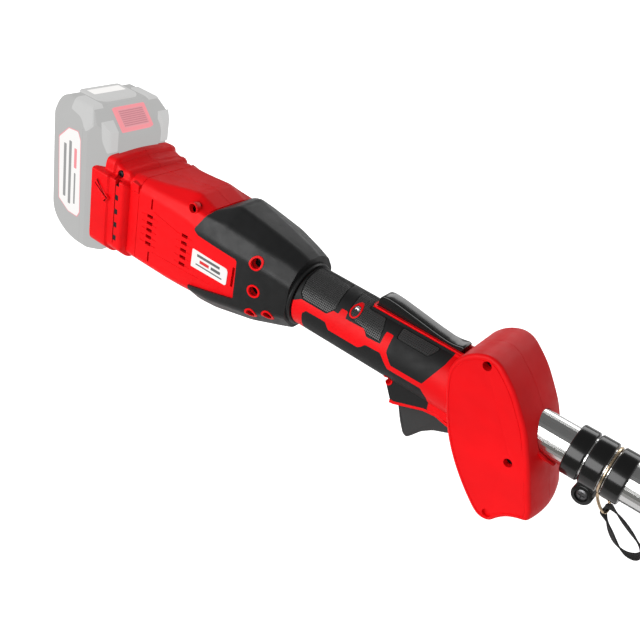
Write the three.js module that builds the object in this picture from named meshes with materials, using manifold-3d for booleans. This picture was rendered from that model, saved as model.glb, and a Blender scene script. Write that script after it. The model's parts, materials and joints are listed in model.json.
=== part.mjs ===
// Telescoping pole saw: battery, motor housing, rear handle with hand guard,
// two-stage aluminium pole, carrying ring, and a bevel-drive chain-saw head.
// Millimetres. +X runs along the pole towards the saw head, +Z is up and the
// pole axis is the X axis, so +Y is the left-hand side of the tool.
import * as THREE from 'three';
import { mergeVertices } from 'three/addons/utils/BufferGeometryUtils.js';
import Module from 'manifold-3d';

const wasm = await Module();
wasm.setup();

// ---------------------------------------------------------------- driving dimensions
const GAP = 0.3;                  // left between touching pieces
const WALL = 2.4;                 // moulded wall thickness
const FLOOR_Z = -68.7;            // lowest points: guard foot and branch hook

const POLE_R = 13;                // outer tube
const POLE_BORE_R = 11.6;
const INNER_R = 11.2;             // sliding tube
const INNER_BORE_R = 9.8;
const SHAFT_SIDE = 8;             // square drive bar
const SLEEVE_SIDE = 11.6;         // square drive sleeve
const SLEEVE_BORE = SHAFT_SIDE + 0.8;

const BATTERY_REAR = -319;
const BATTERY_FRONT = -266;
const BATTERY_HALF_WIDTH = 38;
const BATTERY_BOTTOM = -44;
const BATTERY_TOP = 68;

const FLANGE_REAR = -275;
const FLANGE_FRONT = -238;
const NOSE_FRONT = -88;
const GRIP_REAR = -85;
const POLE_REAR = -64;
const GRIP_R = 21.5;
const GRIP_CORE_R = 19.8;
const GRIP_END = 56;              // front of the grip core, inside the guard
const GRIP_SIDES = 32;
const GUARD_HALF_WIDTH = 24;
const GUARD_MID = [72, -12];      // x, z

const COLLAR_R = 16;
const LOCK_REAR = 846;
const LOCK_FRONT = 884;
const LOCK_X = LOCK_REAR + 30;
const LOCK_Y = 21.4;
const INNER_REAR = 80;
const HEAD_X = 1190;              // where the bevel axes cross
const BAR_TIP = 1512;
const BAR_Y = -23;

// ---------------------------------------------------------------- colours
const RED = 0xd8121c;
const BLACK = 0x1d1d1f;
const CHARCOAL = 0x2b2c2e;
const STEEL = 0xb9bcc0;
const DARK_STEEL = 0x56585c;
const ALUMINIUM = 0xd3d5d8;
const BRASS = 0xc79a5b;
const WEBBING = 0x161616;
const BOARD_GREEN = 0x1f6b3a;
const CELL_BLUE = 0x3c6ea8;
const TANK_BROWN = 0x2a2622;

const plastic = (color, roughness) => new THREE.MeshStandardMaterial({ color, roughness, metalness: 0 });
const metal = (color, roughness) => new THREE.MeshStandardMaterial({ color, roughness, metalness: 1 });

const tool = new THREE.Group();

// ---------------------------------------------------------------- solids
function solid(geometry) {
  const bare = geometry.clone();
  bare.deleteAttribute('normal');
  bare.deleteAttribute('uv');
  const merged = mergeVertices(bare, 1e-4);
  const corners = [];
  for (let i = 0; i < merged.index.count; i += 3) {
    const [a, b, c] = [0, 1, 2].map((k) => merged.index.getX(i + k));
    if (a !== b && b !== c && c !== a) corners.push(a, b, c);
  }
  return new wasm.Manifold(new wasm.Mesh({
    numProp: 3,
    vertProperties: new Float32Array(merged.attributes.position.array),
    triVerts: new Uint32Array(corners),
  }));
}

const join = (...parts) => parts.reduce((sum, part) => sum.add(part));
const cut = (base, ...tools) => tools.reduce((left, part) => left.subtract(part), base);

function place(name, made, material, parent = tool) {
  const mesh = made.asOriginal().simplify(0.08).getMesh();
  const geometry = new THREE.BufferGeometry();
  geometry.setAttribute('position', new THREE.BufferAttribute(new Float32Array(mesh.vertProperties), 3));
  geometry.setIndex(new THREE.BufferAttribute(new Uint32Array(mesh.triVerts), 1));
  geometry.computeVertexNormals();
  const piece = new THREE.Mesh(geometry, material);
  piece.name = name;
  parent.add(piece);
  return piece;
}

const moved = (geometry, x, y, z) => geometry.translate(x, y, z);

function box(x0, x1, y0, y1, z0, z1) {
  const geometry = new THREE.BoxGeometry(x1 - x0, y1 - y0, z1 - z0);
  return solid(moved(geometry, (x0 + x1) / 2, (y0 + y1) / 2, (z0 + z1) / 2));
}

// Solid of revolution about the X axis through (y, z); profile is [x, radius] pairs.
function turnedX(profile, sides = 40, y = 0, z = 0) {
  const points = profile.map(([x, r]) => new THREE.Vector2(r, x));
  const geometry = new THREE.LatheGeometry(points, sides).rotateZ(-Math.PI / 2);
  return solid(moved(geometry, 0, y, z));
}

function rodX(r, x0, x1, y = 0, z = 0, sides = 28) {
  return turnedX([[x0, 0], [x0, r], [x1, r], [x1, 0]], sides, y, z);
}

function tubeX(outer, inner, x0, x1, sides = 36) {
  return turnedX([[x0, inner], [x0, outer], [x1, outer], [x1, inner], [x0, inner]], sides);
}

// Solid of revolution about a line along Y through (x, z); profile is [y, radius] pairs.
function turnedY(profile, x, z, sides = 24) {
  const points = profile.map(([y, r]) => new THREE.Vector2(r, y));
  return solid(moved(new THREE.LatheGeometry(points, sides), x, 0, z));
}

const rodY = (r, y0, y1, x, z, sides = 18) => turnedY([[y0, 0], [y0, r], [y1, r], [y1, 0]], x, z, sides);

// Solid of revolution about a line along Z through (x, y); profile is [z, radius] pairs.
function turnedZ(profile, x, y, sides = 18) {
  const points = profile.map(([z, r]) => new THREE.Vector2(r, z));
  return solid(moved(new THREE.LatheGeometry(points, sides).rotateX(Math.PI / 2), x, y, 0));
}

const rodZ = (r, z0, z1, x, y, sides = 18) => turnedZ([[z0, 0], [z0, r], [z1, r], [z1, 0]], x, y, sides);

// Outline with its corners rounded to the given radius (or as far as the sides allow).
function rounded(outline, radius) {
  const shape = new THREE.Shape();
  const count = outline.length;
  outline.forEach(([x, y], i) => {
    const corner = new THREE.Vector2(x, y);
    const before = new THREE.Vector2(...outline[(i + count - 1) % count]);
    const after = new THREE.Vector2(...outline[(i + 1) % count]);
    const reach = Math.min(radius, corner.distanceTo(before) / 2.1, corner.distanceTo(after) / 2.1);
    const start = corner.clone().lerp(before, reach / corner.distanceTo(before));
    const end = corner.clone().lerp(after, reach / corner.distanceTo(after));
    if (i === 0) shape.moveTo(start.x, start.y);
    else shape.lineTo(start.x, start.y);
    if (reach > 0) shape.quadraticCurveTo(corner.x, corner.y, end.x, end.y);
  });
  return shape;
}

// `bevel` rounds the two rims inwards; `grow` widens the outline all round.
function extruded(shape, depth, steps, bevel, grow) {
  const thickness = Math.max(bevel, grow > 0 ? 0.01 : 0);
  return new THREE.ExtrudeGeometry(shape, {
    depth: depth - 2 * thickness,
    curveSegments: steps,
    bevelEnabled: thickness > 0,
    bevelSize: bevel,
    bevelThickness: thickness,
    bevelOffset: grow - bevel,
    bevelSegments: bevel > 0 ? 2 : 1,
  }).translate(0, 0, thickness);
}

// A side-view outline of [x, z] points, run from y0 to y1.
function slabY(outline, y0, y1, { radius = 0, steps = 4, bevel = 0, grow = 0 } = {}) {
  const geometry = extruded(rounded(outline, radius), y1 - y0, steps, bevel, grow);
  return solid(moved(geometry.rotateX(Math.PI / 2), 0, y1, 0));
}

// A plan outline of [x, y] points, run from z0 to z1.
function slabZ(outline, z0, z1, { radius = 0, steps = 4, bevel = 0, grow = 0 } = {}) {
  const geometry = extruded(rounded(outline, radius), z1 - z0, steps, bevel, grow);
  return solid(moved(geometry, 0, 0, z0));
}

// A front-view outline of [y, z] points, run from x0 to x1.
function slabX(outline, x0, x1, { radius = 0, steps = 4, bevel = 0, grow = 0 } = {}) {
  const turn = new THREE.Matrix4().makeBasis(
    new THREE.Vector3(0, 1, 0), new THREE.Vector3(0, 0, 1), new THREE.Vector3(1, 0, 0));
  const geometry = extruded(rounded(outline, radius), x1 - x0, steps, bevel, grow).applyMatrix4(turn);
  return solid(moved(geometry, x0, 0, 0));
}

// Skin over a row of rings; each ring is { x, points: [[y, z], ...] }, anticlockwise seen from +X.
function loft(rings) {
  const count = rings[0].points.length;
  const positions = rings.flatMap(({ x, points }) => points.flatMap(([y, z]) => [x, y, z]));
  const corners = [];
  for (let i = 0; i + 1 < rings.length; i += 1) {
    for (let j = 0; j < count; j += 1) {
      const k = (j + 1) % count;
      const [a, b, c, d] = [i * count + j, i * count + k, (i + 1) * count + k, (i + 1) * count + j];
      corners.push(a, b, d, b, c, d);
    }
  }
  const last = (rings.length - 1) * count;
  const flat = (ring) => ring.points.map(([y, z]) => new THREE.Vector2(y, z));
  THREE.ShapeUtils.triangulateShape(flat(rings[0]), []).forEach(([a, b, c]) => corners.push(a, c, b));
  THREE.ShapeUtils.triangulateShape(flat(rings.at(-1)), []).forEach(([a, b, c]) => {
    corners.push(last + a, last + b, last + c);
  });
  const geometry = new THREE.BufferGeometry();
  geometry.setAttribute('position', new THREE.Float32BufferAttribute(positions, 3));
  geometry.setIndex(corners);
  return solid(geometry);
}

// Right half of a section, from bottom centre to top centre, mirrored into a whole ring.
function wholeRing(half) {
  const left = half.map(([y, z]) => [Math.abs(y), z]);
  const right = half.filter(([y]) => y !== 0).map(([y, z]) => [-y, z]).reverse();
  return [...left, ...right];
}

// A box-like section with bevelled shoulders, grown outwards by `grow`.
function casingRing({ x, top, shoulder, side, bottom }, grow = 0) {
  const half = [
    [0, bottom[1] - grow],
    [bottom[0] + grow * 0.5, bottom[1] - grow],
    [side[0] + grow, side[1] - grow * 0.3],
    [side[0] + grow, side[2] + grow * 0.3],
    [shoulder[0] + grow * 0.7, shoulder[1] + grow * 0.7],
    [top[0] + grow * 0.3, top[1] + grow],
    [0, top[1] + grow],
  ];
  return { x, points: wholeRing(half) };
}

const FAR = 600;
const rightSide = (made) => made.intersect(box(-FAR, 3 * FAR, -FAR, -GAP / 2, -FAR, FAR));
const leftSide = (made) => made.intersect(box(-FAR, 3 * FAR, GAP / 2, FAR, -FAR, FAR));

// ---------------------------------------------------------------- case screws
// A screw sunk into the right-hand shell: its head sits at the bottom of a counterbore.
const SCREW = { headR: 2.7, shankR: 1.3, headLength: 1.6, grip: 16, sink: 5 };

const screwBoss = ({ x, z, face }) => rodY(5, -face + 1, face - 1, x, z, 10);

function screwHole({ x, z, face, sink = SCREW.sink, grip = SCREW.grip }) {
  return join(
    rodY(SCREW.headR + GAP, -face - 20, -face + sink, x, z, 14),
    rodY(SCREW.shankR + GAP, -face, -face + sink + grip + 1, x, z, 8),
  );
}

function screw(name, { x, z, face, sink = SCREW.sink, grip = SCREW.grip }) {
  const seat = -face + sink - GAP;
  const body = turnedY([
    [seat - SCREW.headLength, 0], [seat - SCREW.headLength, SCREW.headR * 0.75],
    [seat - SCREW.headLength * 0.6, SCREW.headR], [seat, SCREW.headR], [seat, SCREW.shankR],
    [seat + grip, SCREW.shankR], [seat + grip, 0],
  ], x, z, 10);
  place(name, body, metal(DARK_STEEL, 0.45));
}

// ---------------------------------------------------------------- battery
const BATTERY_SPLIT = -285;
const BATTERY_CHAMFER_X = -281;
const BATTERY_FACE_HALF = 28;
const LATCH_TOP = [-283, BATTERY_TOP];
const LATCH_BOTTOM = [BATTERY_FRONT, 50];
const CONTACT_ROWS = [-9, -3, 3, 9];   // y of the blade contacts
const TONGUE = { x: -262, rootHalf: 17, tipHalf: 21, bottom: -34, top: 36 };
const BUTTON = { halfWidth: 15, halfLength: 9.5, rise: 1.2, depth: 4, travel: 2.5 };

const batterySide = [
  [BATTERY_REAR, BATTERY_TOP], [BATTERY_REAR, BATTERY_BOTTOM + 14], [BATTERY_REAR + 20, BATTERY_BOTTOM],
  [BATTERY_FRONT, BATTERY_BOTTOM], LATCH_BOTTOM, LATCH_TOP,
];
const batteryPlan = (grow) => [
  [BATTERY_REAR - grow, -BATTERY_HALF_WIDTH - grow], [BATTERY_CHAMFER_X, -BATTERY_HALF_WIDTH - grow],
  [BATTERY_FRONT + grow, -BATTERY_FACE_HALF], [BATTERY_FRONT + grow, BATTERY_FACE_HALF],
  [BATTERY_CHAMFER_X, BATTERY_HALF_WIDTH + grow], [BATTERY_REAR - grow, BATTERY_HALF_WIDTH + grow],
];
const tonguePlan = (grow) => [
  [BATTERY_FRONT - 1, -TONGUE.rootHalf - grow], [TONGUE.x + grow, -TONGUE.tipHalf - grow],
  [TONGUE.x + grow, TONGUE.tipHalf + grow], [BATTERY_FRONT - 1, TONGUE.rootHalf + grow],
];

// Frame of the slanted face that carries the release button: down the slope, across, outwards.
const latchRun = LATCH_BOTTOM[0] - LATCH_TOP[0];
const latchDrop = LATCH_BOTTOM[1] - LATCH_TOP[1];
const slope = new THREE.Vector3(latchRun, 0, latchDrop).normalize();
const across = new THREE.Vector3(0, 1, 0);
const outwards = slope.clone().cross(across);
const buttonCentre = new THREE.Vector3(
  (LATCH_TOP[0] + LATCH_BOTTOM[0]) / 2, 0, (LATCH_TOP[1] + LATCH_BOTTOM[1]) / 2);

function onSlope(halfLength, halfWidth, inner, outer, shift = 0) {
  const geometry = new THREE.BoxGeometry(2 * halfLength, 2 * halfWidth, outer - inner);
  geometry.translate(shift, 0, (inner + outer) / 2);
  geometry.applyMatrix4(new THREE.Matrix4().makeBasis(slope, across, outwards));
  return solid(geometry.translate(buttonCentre.x, buttonCentre.y, buttonCentre.z));
}

function buildBattery() {
  const envelope = slabY(batterySide, -BATTERY_HALF_WIDTH, BATTERY_HALF_WIDTH, { radius: 12, bevel: 2 })
    .intersect(slabZ(batteryPlan(0), BATTERY_BOTTOM - 1, BATTERY_TOP + 1, { radius: 4 }));
  const plateau = slabZ(
    [[-314, -22], [-292, -22], [-287, -16], [-287, 16], [-292, 22], [-314, 22]],
    BATTERY_TOP - 3, BATTERY_TOP + 1.6, { radius: 3, bevel: 1 });
  const tongue = slabZ(tonguePlan(0), TONGUE.bottom, TONGUE.top);
  const contactSlots = join(...CONTACT_ROWS.map((y) =>
    box(BATTERY_FRONT - 2, TONGUE.x + 1, y - 0.8, y + 0.8, TONGUE.bottom - 1, 26)));
  const cavity = slabY([
    [BATTERY_REAR + WALL, 46], [BATTERY_REAR + WALL, BATTERY_BOTTOM + 16],
    [BATTERY_REAR + 22, BATTERY_BOTTOM + WALL], [BATTERY_FRONT - WALL, BATTERY_BOTTOM + WALL],
    [BATTERY_FRONT - WALL, 40],
  ], -60, 60, { radius: 10 }).intersect(slabZ(batteryPlan(-WALL - 0.6), BATTERY_BOTTOM, 60));
  const pocket = onSlope(
    BUTTON.halfLength + GAP, BUTTON.halfWidth + GAP, -BUTTON.depth - BUTTON.travel - 0.5, 10);
  const whole = cut(join(envelope, plateau, tongue), cavity, pocket, contactSlots);
  const rear = whole.intersect(box(-400, BATTERY_SPLIT - GAP / 2, -60, 60, -80, 100));
  const front = whole.intersect(box(BATTERY_SPLIT + GAP / 2, -200, -60, 60, -80, 100));
  place('battery_case_rear', rear, plastic(CHARCOAL, 0.5));
  place('battery_case_front', front, plastic(CHARCOAL, 0.5));

  // Two rows of cells, stacked on their sides and held by a carrier between the rows.
  const cellR = 9.2;
  const pitch = 19.4;
  const lowest = BATTERY_BOTTOM + 12.6;
  const cells = [];
  for (let level = 0; level < 4; level += 1) {
    if (level > 0) cells.push(rodY(cellR, -32, 32, BATTERY_REAR + 12.4, lowest + level * pitch, 12));
    cells.push(rodY(cellR, -26, 26, BATTERY_REAR + 31.6, lowest + level * pitch, 12));
  }
  const carrier = box(BATTERY_REAR + 20, BATTERY_REAR + 36, -3, 3, lowest - 4, lowest + 3 * pitch + 4);
  place('battery_cells', join(...cells, carrier), plastic(CELL_BLUE, 0.4));

  const cap = onSlope(BUTTON.halfLength, BUTTON.halfWidth, -BUTTON.depth, BUTTON.rise);
  const grooves = [-6, -4, -2, 0, 2, 4, 6].map((shift) => onSlope(0.5, BUTTON.halfWidth - 3, 0.6, 3, shift));
  place('battery_release_button', cut(cap, ...grooves), plastic(RED, 0.4));
}

// ---------------------------------------------------------------- motor housing
const NOSE_SKIN = 2;
const noseSections = [
  { x: -186, top: [14, 31], shoulder: [24.5, 29], side: [31.6, -27, 20], bottom: [23, -36] },
  { x: -166, top: [20, 34], shoulder: [27.3, 33], side: [32, -28, 20], bottom: [23, -38] },
  { x: -150, top: [11.3, 42.8], shoulder: [26, 32.6], side: [31.8, -27, 20], bottom: [21, -38] },
  { x: -118, top: [9, 36.4], shoulder: [23.2, 29.4], side: [30, -21, 18.6], bottom: [17, -33] },
  { x: -96, top: [7, 31], shoulder: [18, 26], side: [25.2, -13.5, 14.5], bottom: [12.5, -27.4] },
  { x: NOSE_FRONT, top: [6.5, 28], shoulder: [16.5, 23.6], side: [23.6, -12, 13], bottom: [11, -25] },
];
const bodySections = [
  { x: -240, top: [14, 33], shoulder: [26.6, 30.2], side: [30, -31, 24.5], bottom: [24, -37] },
  { x: -204, top: [14, 33.6], shoulder: [26.6, 30.2], side: [30, -31, 24.5], bottom: [24, -37] },
  { x: -183, top: [16, 39], shoulder: [26, 31.4], side: [30, -30.5, 23], bottom: [23, -37] },
  { x: -169, top: [15, 33.2], shoulder: [25.6, 31], side: [30, -28.5, 20.5], bottom: [22, -36.4] },
];
const flangeHalf = (grow) => [
  [0, -41 - grow], [27, -41 - grow], [38.3 + grow, -32], [38.3 + grow, 27 + grow], [30.5 + grow, 32 + grow],
  [29 + grow, 37 + grow], [16, 40.8 + grow], [0, 42 + grow],
];
const windowOutline = [
  [-200, 17.5], [-170, 17.5], [-131.5, 12.8], [-130.5, -17], [-150, -21.5], [-174, -27], [-200, -27],
];

const housingScrews = {
  flange_screw: { x: -248.5, z: 29.6, face: 36 },
  body_screw: { x: -178, z: 31, face: 26, sink: 4 },
  nose_screw_upper: { x: -115, z: 19.4, face: 31 },
  nose_screw_lower: { x: -113, z: -1.4, face: 31, grip: 6 },
};

// Cooling slots of the right-hand side, repeated on the left: [x, z, length along x, height].
function ventCutters() {
  const slots = [];
  [9, 3.4, -2.2, -7.8, -13.4].forEach((z) => slots.push([-216.5, z, 6, 2.4]));
  [9.8, 4, -1.8, -7.5, -13.2].forEach((z) => slots.push([-180.5, z, 6, 2.4]));
  [[-215.6, 19, 2, 9], [-215.2, -24, 2, 9], [-132.9, 0, 2.4, 15]].forEach((slot) => slots.push(slot));
  [24, 12.5, 1, -10, -21].forEach((z) => slots.push([-250, z, 2.6, 3.4]));
  return slots.flatMap(([x, z, length, height]) => [-1, 1].map((side) => {
    const inner = side * 20;
    const outer = side * 45;
    return box(x - length / 2, x + length / 2, Math.min(inner, outer), Math.max(inner, outer),
      z - height / 2, z + height / 2);
  }));
}

function buildHousing() {
  const noseCore = loft(noseSections.map((section) => casingRing(section, -NOSE_SKIN)));
  const body = loft(bodySections.map((section) => casingRing(section)));
  const flange = loft([
    { x: FLANGE_REAR, points: wholeRing(flangeHalf(-1)) },
    { x: FLANGE_REAR + 1.5, points: wholeRing(flangeHalf(0)) },
    { x: FLANGE_FRONT - 6, points: wholeRing(flangeHalf(0)) },
    { x: FLANGE_FRONT, points: wholeRing(flangeHalf(-4)) },
  ]);
  const outside = join(noseCore, body, flange);

  const inset = (section) => casingRing(section, -WALL);
  const bodyRoom = loft([{ ...bodySections[0], x: -254 }, ...bodySections].map(inset));
  const noseRoom = loft(noseSections.slice(0, 5).map((section) => casingRing(section, -NOSE_SKIN - WALL)));
  const flangeRoom = box(-263, -252, -14.3, 14.3, -20, 20);
  const batteryWell = slabZ(batteryPlan(0.4), BATTERY_BOTTOM - 0.5, 120);
  const tongueWell = slabZ(tonguePlan(GAP), TONGUE.bottom - GAP, 120);
  const bosses = Object.values(housingScrews).map(screwBoss);
  const motorSeat = cut(rodX(30, -164, -160, 0, 0, 8), rodX(12, -165, -159)).intersect(noseCore);
  const shaftRoom = rodX(POLE_BORE_R, -160, NOSE_FRONT + 1);
  const hollow = join(cut(join(bodyRoom, noseRoom, flangeRoom), ...bosses, motorSeat), shaftRoom);
  const holes = Object.values(housingScrews).map(screwHole);
  const shell = cut(outside, hollow, batteryWell, tongueWell, ...ventCutters(), ...holes);
  place('housing_right', rightSide(shell), plastic(RED, 0.38));
  place('housing_left', leftSide(shell), plastic(RED, 0.38));

  const noseOuter = loft(noseSections.map((section) => casingRing(section)));
  const noseInner = loft(noseSections.map((section) => casingRing(section, -NOSE_SKIN + GAP)));
  const window = slabY(windowOutline, -60, 60, { radius: 2 });
  const rearTrim = slabY([
    [-220, 70], [-166, 70], [-163.5, 34], [-173, 19], [-190, 10], [-220, 10],
  ], -60, 60);
  const bottomTrim = slabY([
    [-220, -20], [-176, -20], [-172.5, -31], [-163, -38], [-163, -60], [-220, -60],
  ], -60, 60);
  const bodyGrown = loft(bodySections.map((section) => casingRing(section, GAP)));
  const ring = turnedX([[NOSE_FRONT - 1, 20.5], [NOSE_FRONT - 1, 23.2], [-86.4, 23.2], [-85.6, 22.4],
    [-85.6, 20.5], [NOSE_FRONT - 1, 20.5]], 36);
  const noseHoles = [housingScrews.nose_screw_upper, housingScrews.nose_screw_lower]
    .map(({ x, z }) => rodY(SCREW.headR + 1.8, -60, -20, x, z));
  const cover = cut(join(noseOuter, ring), noseInner.add(rodX(20.5, -100, -80)), window, rearTrim, bottomTrim,
    bodyGrown, ...noseHoles);
  place('nose_cover', cover, plastic(BLACK, 0.55));

  Object.entries(housingScrews).forEach(([name, where]) => screw(name, where));
}

// ---------------------------------------------------------------- rear handle and hand guard
// Side-view outline of the guard: raked forwards, with two lobes at its foot.
const guardOutline = [
  [36, 20.9], [37.6, 9], [42.6, -7], [49.8, -25.9], [59.2, -42], [69.5, -55.3], [78.9, -65.3],
  [84, FLOOR_Z], [91, -68], [95.7, -60.7], [100.4, -55.7], [106.5, -52.2], [113.5, -49.6], [113.2, -42.4],
  [108, -28.1], [103, -13.3], [93.4, 8.4], [86.8, 18.2], [79.3, 28.5], [72, 35.6], [65, 41.2],
  [58, 42.8], [51, 40.6], [44.8, 36.6], [39, 30],
];
// Below this height the guard narrows towards its foot.
const GUARD_TAPER = { from: -15, footHalf: 20 };
const FOOT_PAD = { x0: 83, x1: 92, half: 10, top: -60 };
const redPanelOutline = [
  [-86, 4], [-84, 4.2], [-79, 7.4], [-57.5, 7.3], [-53.8, 11], [-49.6, 11], [-49, 14.5], [-44.2, 14.5],
  [-43.4, 10.6], [-28.3, 11], [-24.6, 7.6], [-13.8, 8.2], [-14, 15.6], [-8.5, 15.6], [-7.8, 5.8], [-2, -1.2],
  [21.8, -0.8], [30, 15.7], [32, 26], [50, 26], [50, -22], [27.6, -22], [26.5, -10.6], [21.6, -4.8],
  [-3.8, -5.2], [-11.4, 3.1], [-23.2, 2.6], [-26.3, -0.8], [-28.4, -2.2], [-52.6, -2.4], [-56.2, 2],
  [-72.5, 1.8], [-75.4, -1.4], [-75.4, -22], [-86, -22],
];
const triggerLip = [[-1, -26], [0.5, -34], [10, -31.4], [25, -28.6], [52, -30], [52, -26]];
const spoutOutline = [[80, -2], [97, -3], [106, -8], [112, -12.4], [112, -20], [80, -20]];
const triggerOutline = [
  [1, -28.5], [5, -35], [9.3, -45.5], [14, -54], [17.4, -55.4], [20.4, -52], [26, -44.6], [33.6, -38.4],
  [42.4, -34.4], [45.5, -33], [45.5, -26], [41, -20], [35, -20], [20, -26],
];
const PIVOT_R = 1.5;
const PLINTH = { x0: -32, x1: 38, half: 7, top: 22.4, rim: 1.2, lip: 0.6 };
const RIM_HALF = PLINTH.half + PLINTH.lip;
const rimOutline = [
  [PLINTH.x0 - PLINTH.lip, 2 - RIM_HALF], [PLINTH.x0 + 1.5, -RIM_HALF], [PLINTH.x1, -RIM_HALF],
  [PLINTH.x1, RIM_HALF], [PLINTH.x0 + 1.5, RIM_HALF], [PLINTH.x0 - PLINTH.lip, RIM_HALF - 2],
];
const TRIGGER_HOUSING = {
  half: 12.4,
  skin: 1.7,
  outline: [[-12, -10], [0.5, -31.5], [10, -29], [25, -26.4], [52, -28], [52, -10]],
};
const TRIGGER_PIVOT = [38.5, -22.5];
const LEVER_PIVOT = [30, 21];
const LEVER_HALF = 5.2;

const handleScrews = {
  grip_screw: { x: -39.8, z: 16.6, face: 14, sink: 3.2 },
  trigger_screw: { x: -4.5, z: -17.5, face: 14, sink: 3.2 },
  guard_screw_top: { x: 58, z: 36, face: GUARD_HALF_WIDTH },
  guard_screw_front: { x: 89.7, z: -17.6, face: GUARD_HALF_WIDTH },
  guard_screw_foot: { x: 88, z: -61, face: GUARD_TAPER.footHalf + 0.6 },
};

const scaledAbout = (outline, [cx, cz], factor) =>
  outline.map(([x, z]) => [cx + (x - cx) * factor, cz + (z - cz) * factor]);

// What the guard's narrowing sides leave, grown sideways by `grow`.
function guardWedge(grow) {
  const half = GUARD_HALF_WIDTH + grow;
  const footHalf = GUARD_TAPER.footHalf + grow;
  return slabX([
    [-half, 60], [-half, GUARD_TAPER.from], [-footHalf, FLOOR_Z - 1], [footHalf, FLOOR_Z - 1],
    [half, GUARD_TAPER.from], [half, 60],
  ], 0, 140);
}

function buildHandle() {
  const grip = (r) => turnedX([
    [GRIP_REAR, 0], [GRIP_REAR, r - 0.8], [GRIP_REAR + 0.8, r], [GRIP_END, r], [GRIP_END, 0],
  ], GRIP_SIDES);
  const { half, skin } = TRIGGER_HOUSING;
  const triggerHousing = (grow) => slabY(TRIGGER_HOUSING.outline, -half - grow, half + grow, { bevel: 1.5 });
  const plinth = (grow, top) => box(
    PLINTH.x0 - grow, PLINTH.x1, -PLINTH.half - grow, PLINTH.half + grow, 5, top);
  const envelope = join(grip(GRIP_R), triggerHousing(skin), plinth(PLINTH.lip, PLINTH.top - GAP));

  // Red shells: a core, the raised red panels, the rims round lever and trigger, and the guard.
  const redRegion = slabY(redPanelOutline, -60, 60, { radius: 0.6, steps: 1 });
  const rim = slabZ(rimOutline, PLINTH.top, PLINTH.top + PLINTH.rim);
  const lip = slabY(triggerLip, -half - skin, half + skin);
  const flare = turnedX([[24, 0], [24, GRIP_CORE_R], [34, 22.4], [44, 24], [60, 24], [60, 0]], GRIP_SIDES);
  const guard = slabY(guardOutline, -GUARD_HALF_WIDTH, GUARD_HALF_WIDTH, { radius: 8, steps: 3, bevel: 1.6 })
    .intersect(guardWedge(0));
  const { x0, x1, top: padTop } = FOOT_PAD;
  const footPad = box(x0, x1, -FOOT_PAD.half, FOOT_PAD.half, FLOOR_Z, padTop);
  const spout = rodX(POLE_R + 2.6, 86, 112).intersect(slabY(spoutOutline, -30, 30));
  const core = join(grip(GRIP_CORE_R), triggerHousing(0), plinth(0, PLINTH.top));
  const red = join(core, envelope.intersect(redRegion), rim, lip, flare, guard, footPad, spout);

  const guardRoom = slabY(scaledAbout(guardOutline, GUARD_MID, 0.88), -GUARD_HALF_WIDTH, GUARD_HALF_WIDTH)
    .intersect(guardWedge(-WALL));
  const screwList = Object.values(handleScrews);
  const poleSleeve = rodX(POLE_R + GAP + 2, 30, 112);
  const gripEnd = rodX(24, 20, 47);
  const hollow = cut(guardRoom, poleSleeve, gripEnd, ...screwList.map(screwBoss));
  const poleBore = rodX(POLE_R + GAP, POLE_REAR - GAP, 130);
  const couplingRoom = rodX(POLE_R - 1, GRIP_REAR - 1, POLE_REAR + 1);
  const triggerRoom = box(-6, 47, -9.4, 9.4, -60, -15.6);
  const leverRoom = slabY([
    [PLINTH.x0 + 1, 40], [PLINTH.x0 + 1, 17.4], [-10, 17.4], [PLINTH.x1 - 2, 16.5], [PLINTH.x1 - 2, 40],
  ], -LEVER_HALF - GAP, LEVER_HALF + GAP);
  const pivotHoles = join(
    rodY(PIVOT_R + 0.1, -half - 0.2, half + 0.2, ...TRIGGER_PIVOT),
    rodY(PIVOT_R + 0.1, -PLINTH.half + 0.8, PLINTH.half - 0.8, ...LEVER_PIVOT),
  );
  const shell = cut(red, hollow, poleBore, couplingRoom, triggerRoom, leverRoom, pivotHoles,
    ...screwList.map(screwHole));
  place('handle_right', rightSide(shell), plastic(RED, 0.38));
  place('handle_left', leftSide(shell), plastic(RED, 0.38));

  // Soft black grip: everything of the envelope that the red panels leave.
  const flareGrown = turnedX([[23, 0], [23, 20.1], [34, 22.7], [44, 24.3], [60, 24.3], [60, 0]], GRIP_SIDES);
  const coreGrown = join(
    rodX(GRIP_CORE_R + GAP, -100, 60, 0, 0, GRIP_SIDES), triggerHousing(GAP), plinth(GAP, PLINTH.top),
    flareGrown,
    slabZ(rimOutline, PLINTH.top - 0.01, 40, { grow: GAP }), slabY(triggerLip, -30, 30, { grow: GAP }));
  const washers = [handleScrews.grip_screw, handleScrews.trigger_screw]
    .map(({ x, z }) => rodY(SCREW.headR + 1.8, -40, 0, x, z));
  const redGrown = slabY(redPanelOutline, -60, 60, { radius: 0.6, steps: 1, grow: GAP });
  const pads = cut(envelope, coreGrown, redGrown, triggerRoom, leverRoom, box(31.6, 80, -60, 60, -60, 60),
    ...washers);
  const top = (made) => made.boundingBox().max[2];
  const [upperPad, lowerPad] = pads.decompose().sort((a, b) => top(b) - top(a));
  place('grip_pad_upper', upperPad, plastic(BLACK, 0.7));
  place('grip_pad_lower', lowerPad, plastic(BLACK, 0.7));
  Object.entries(handleScrews).forEach(([name, where]) => screw(name, where));
}

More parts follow.
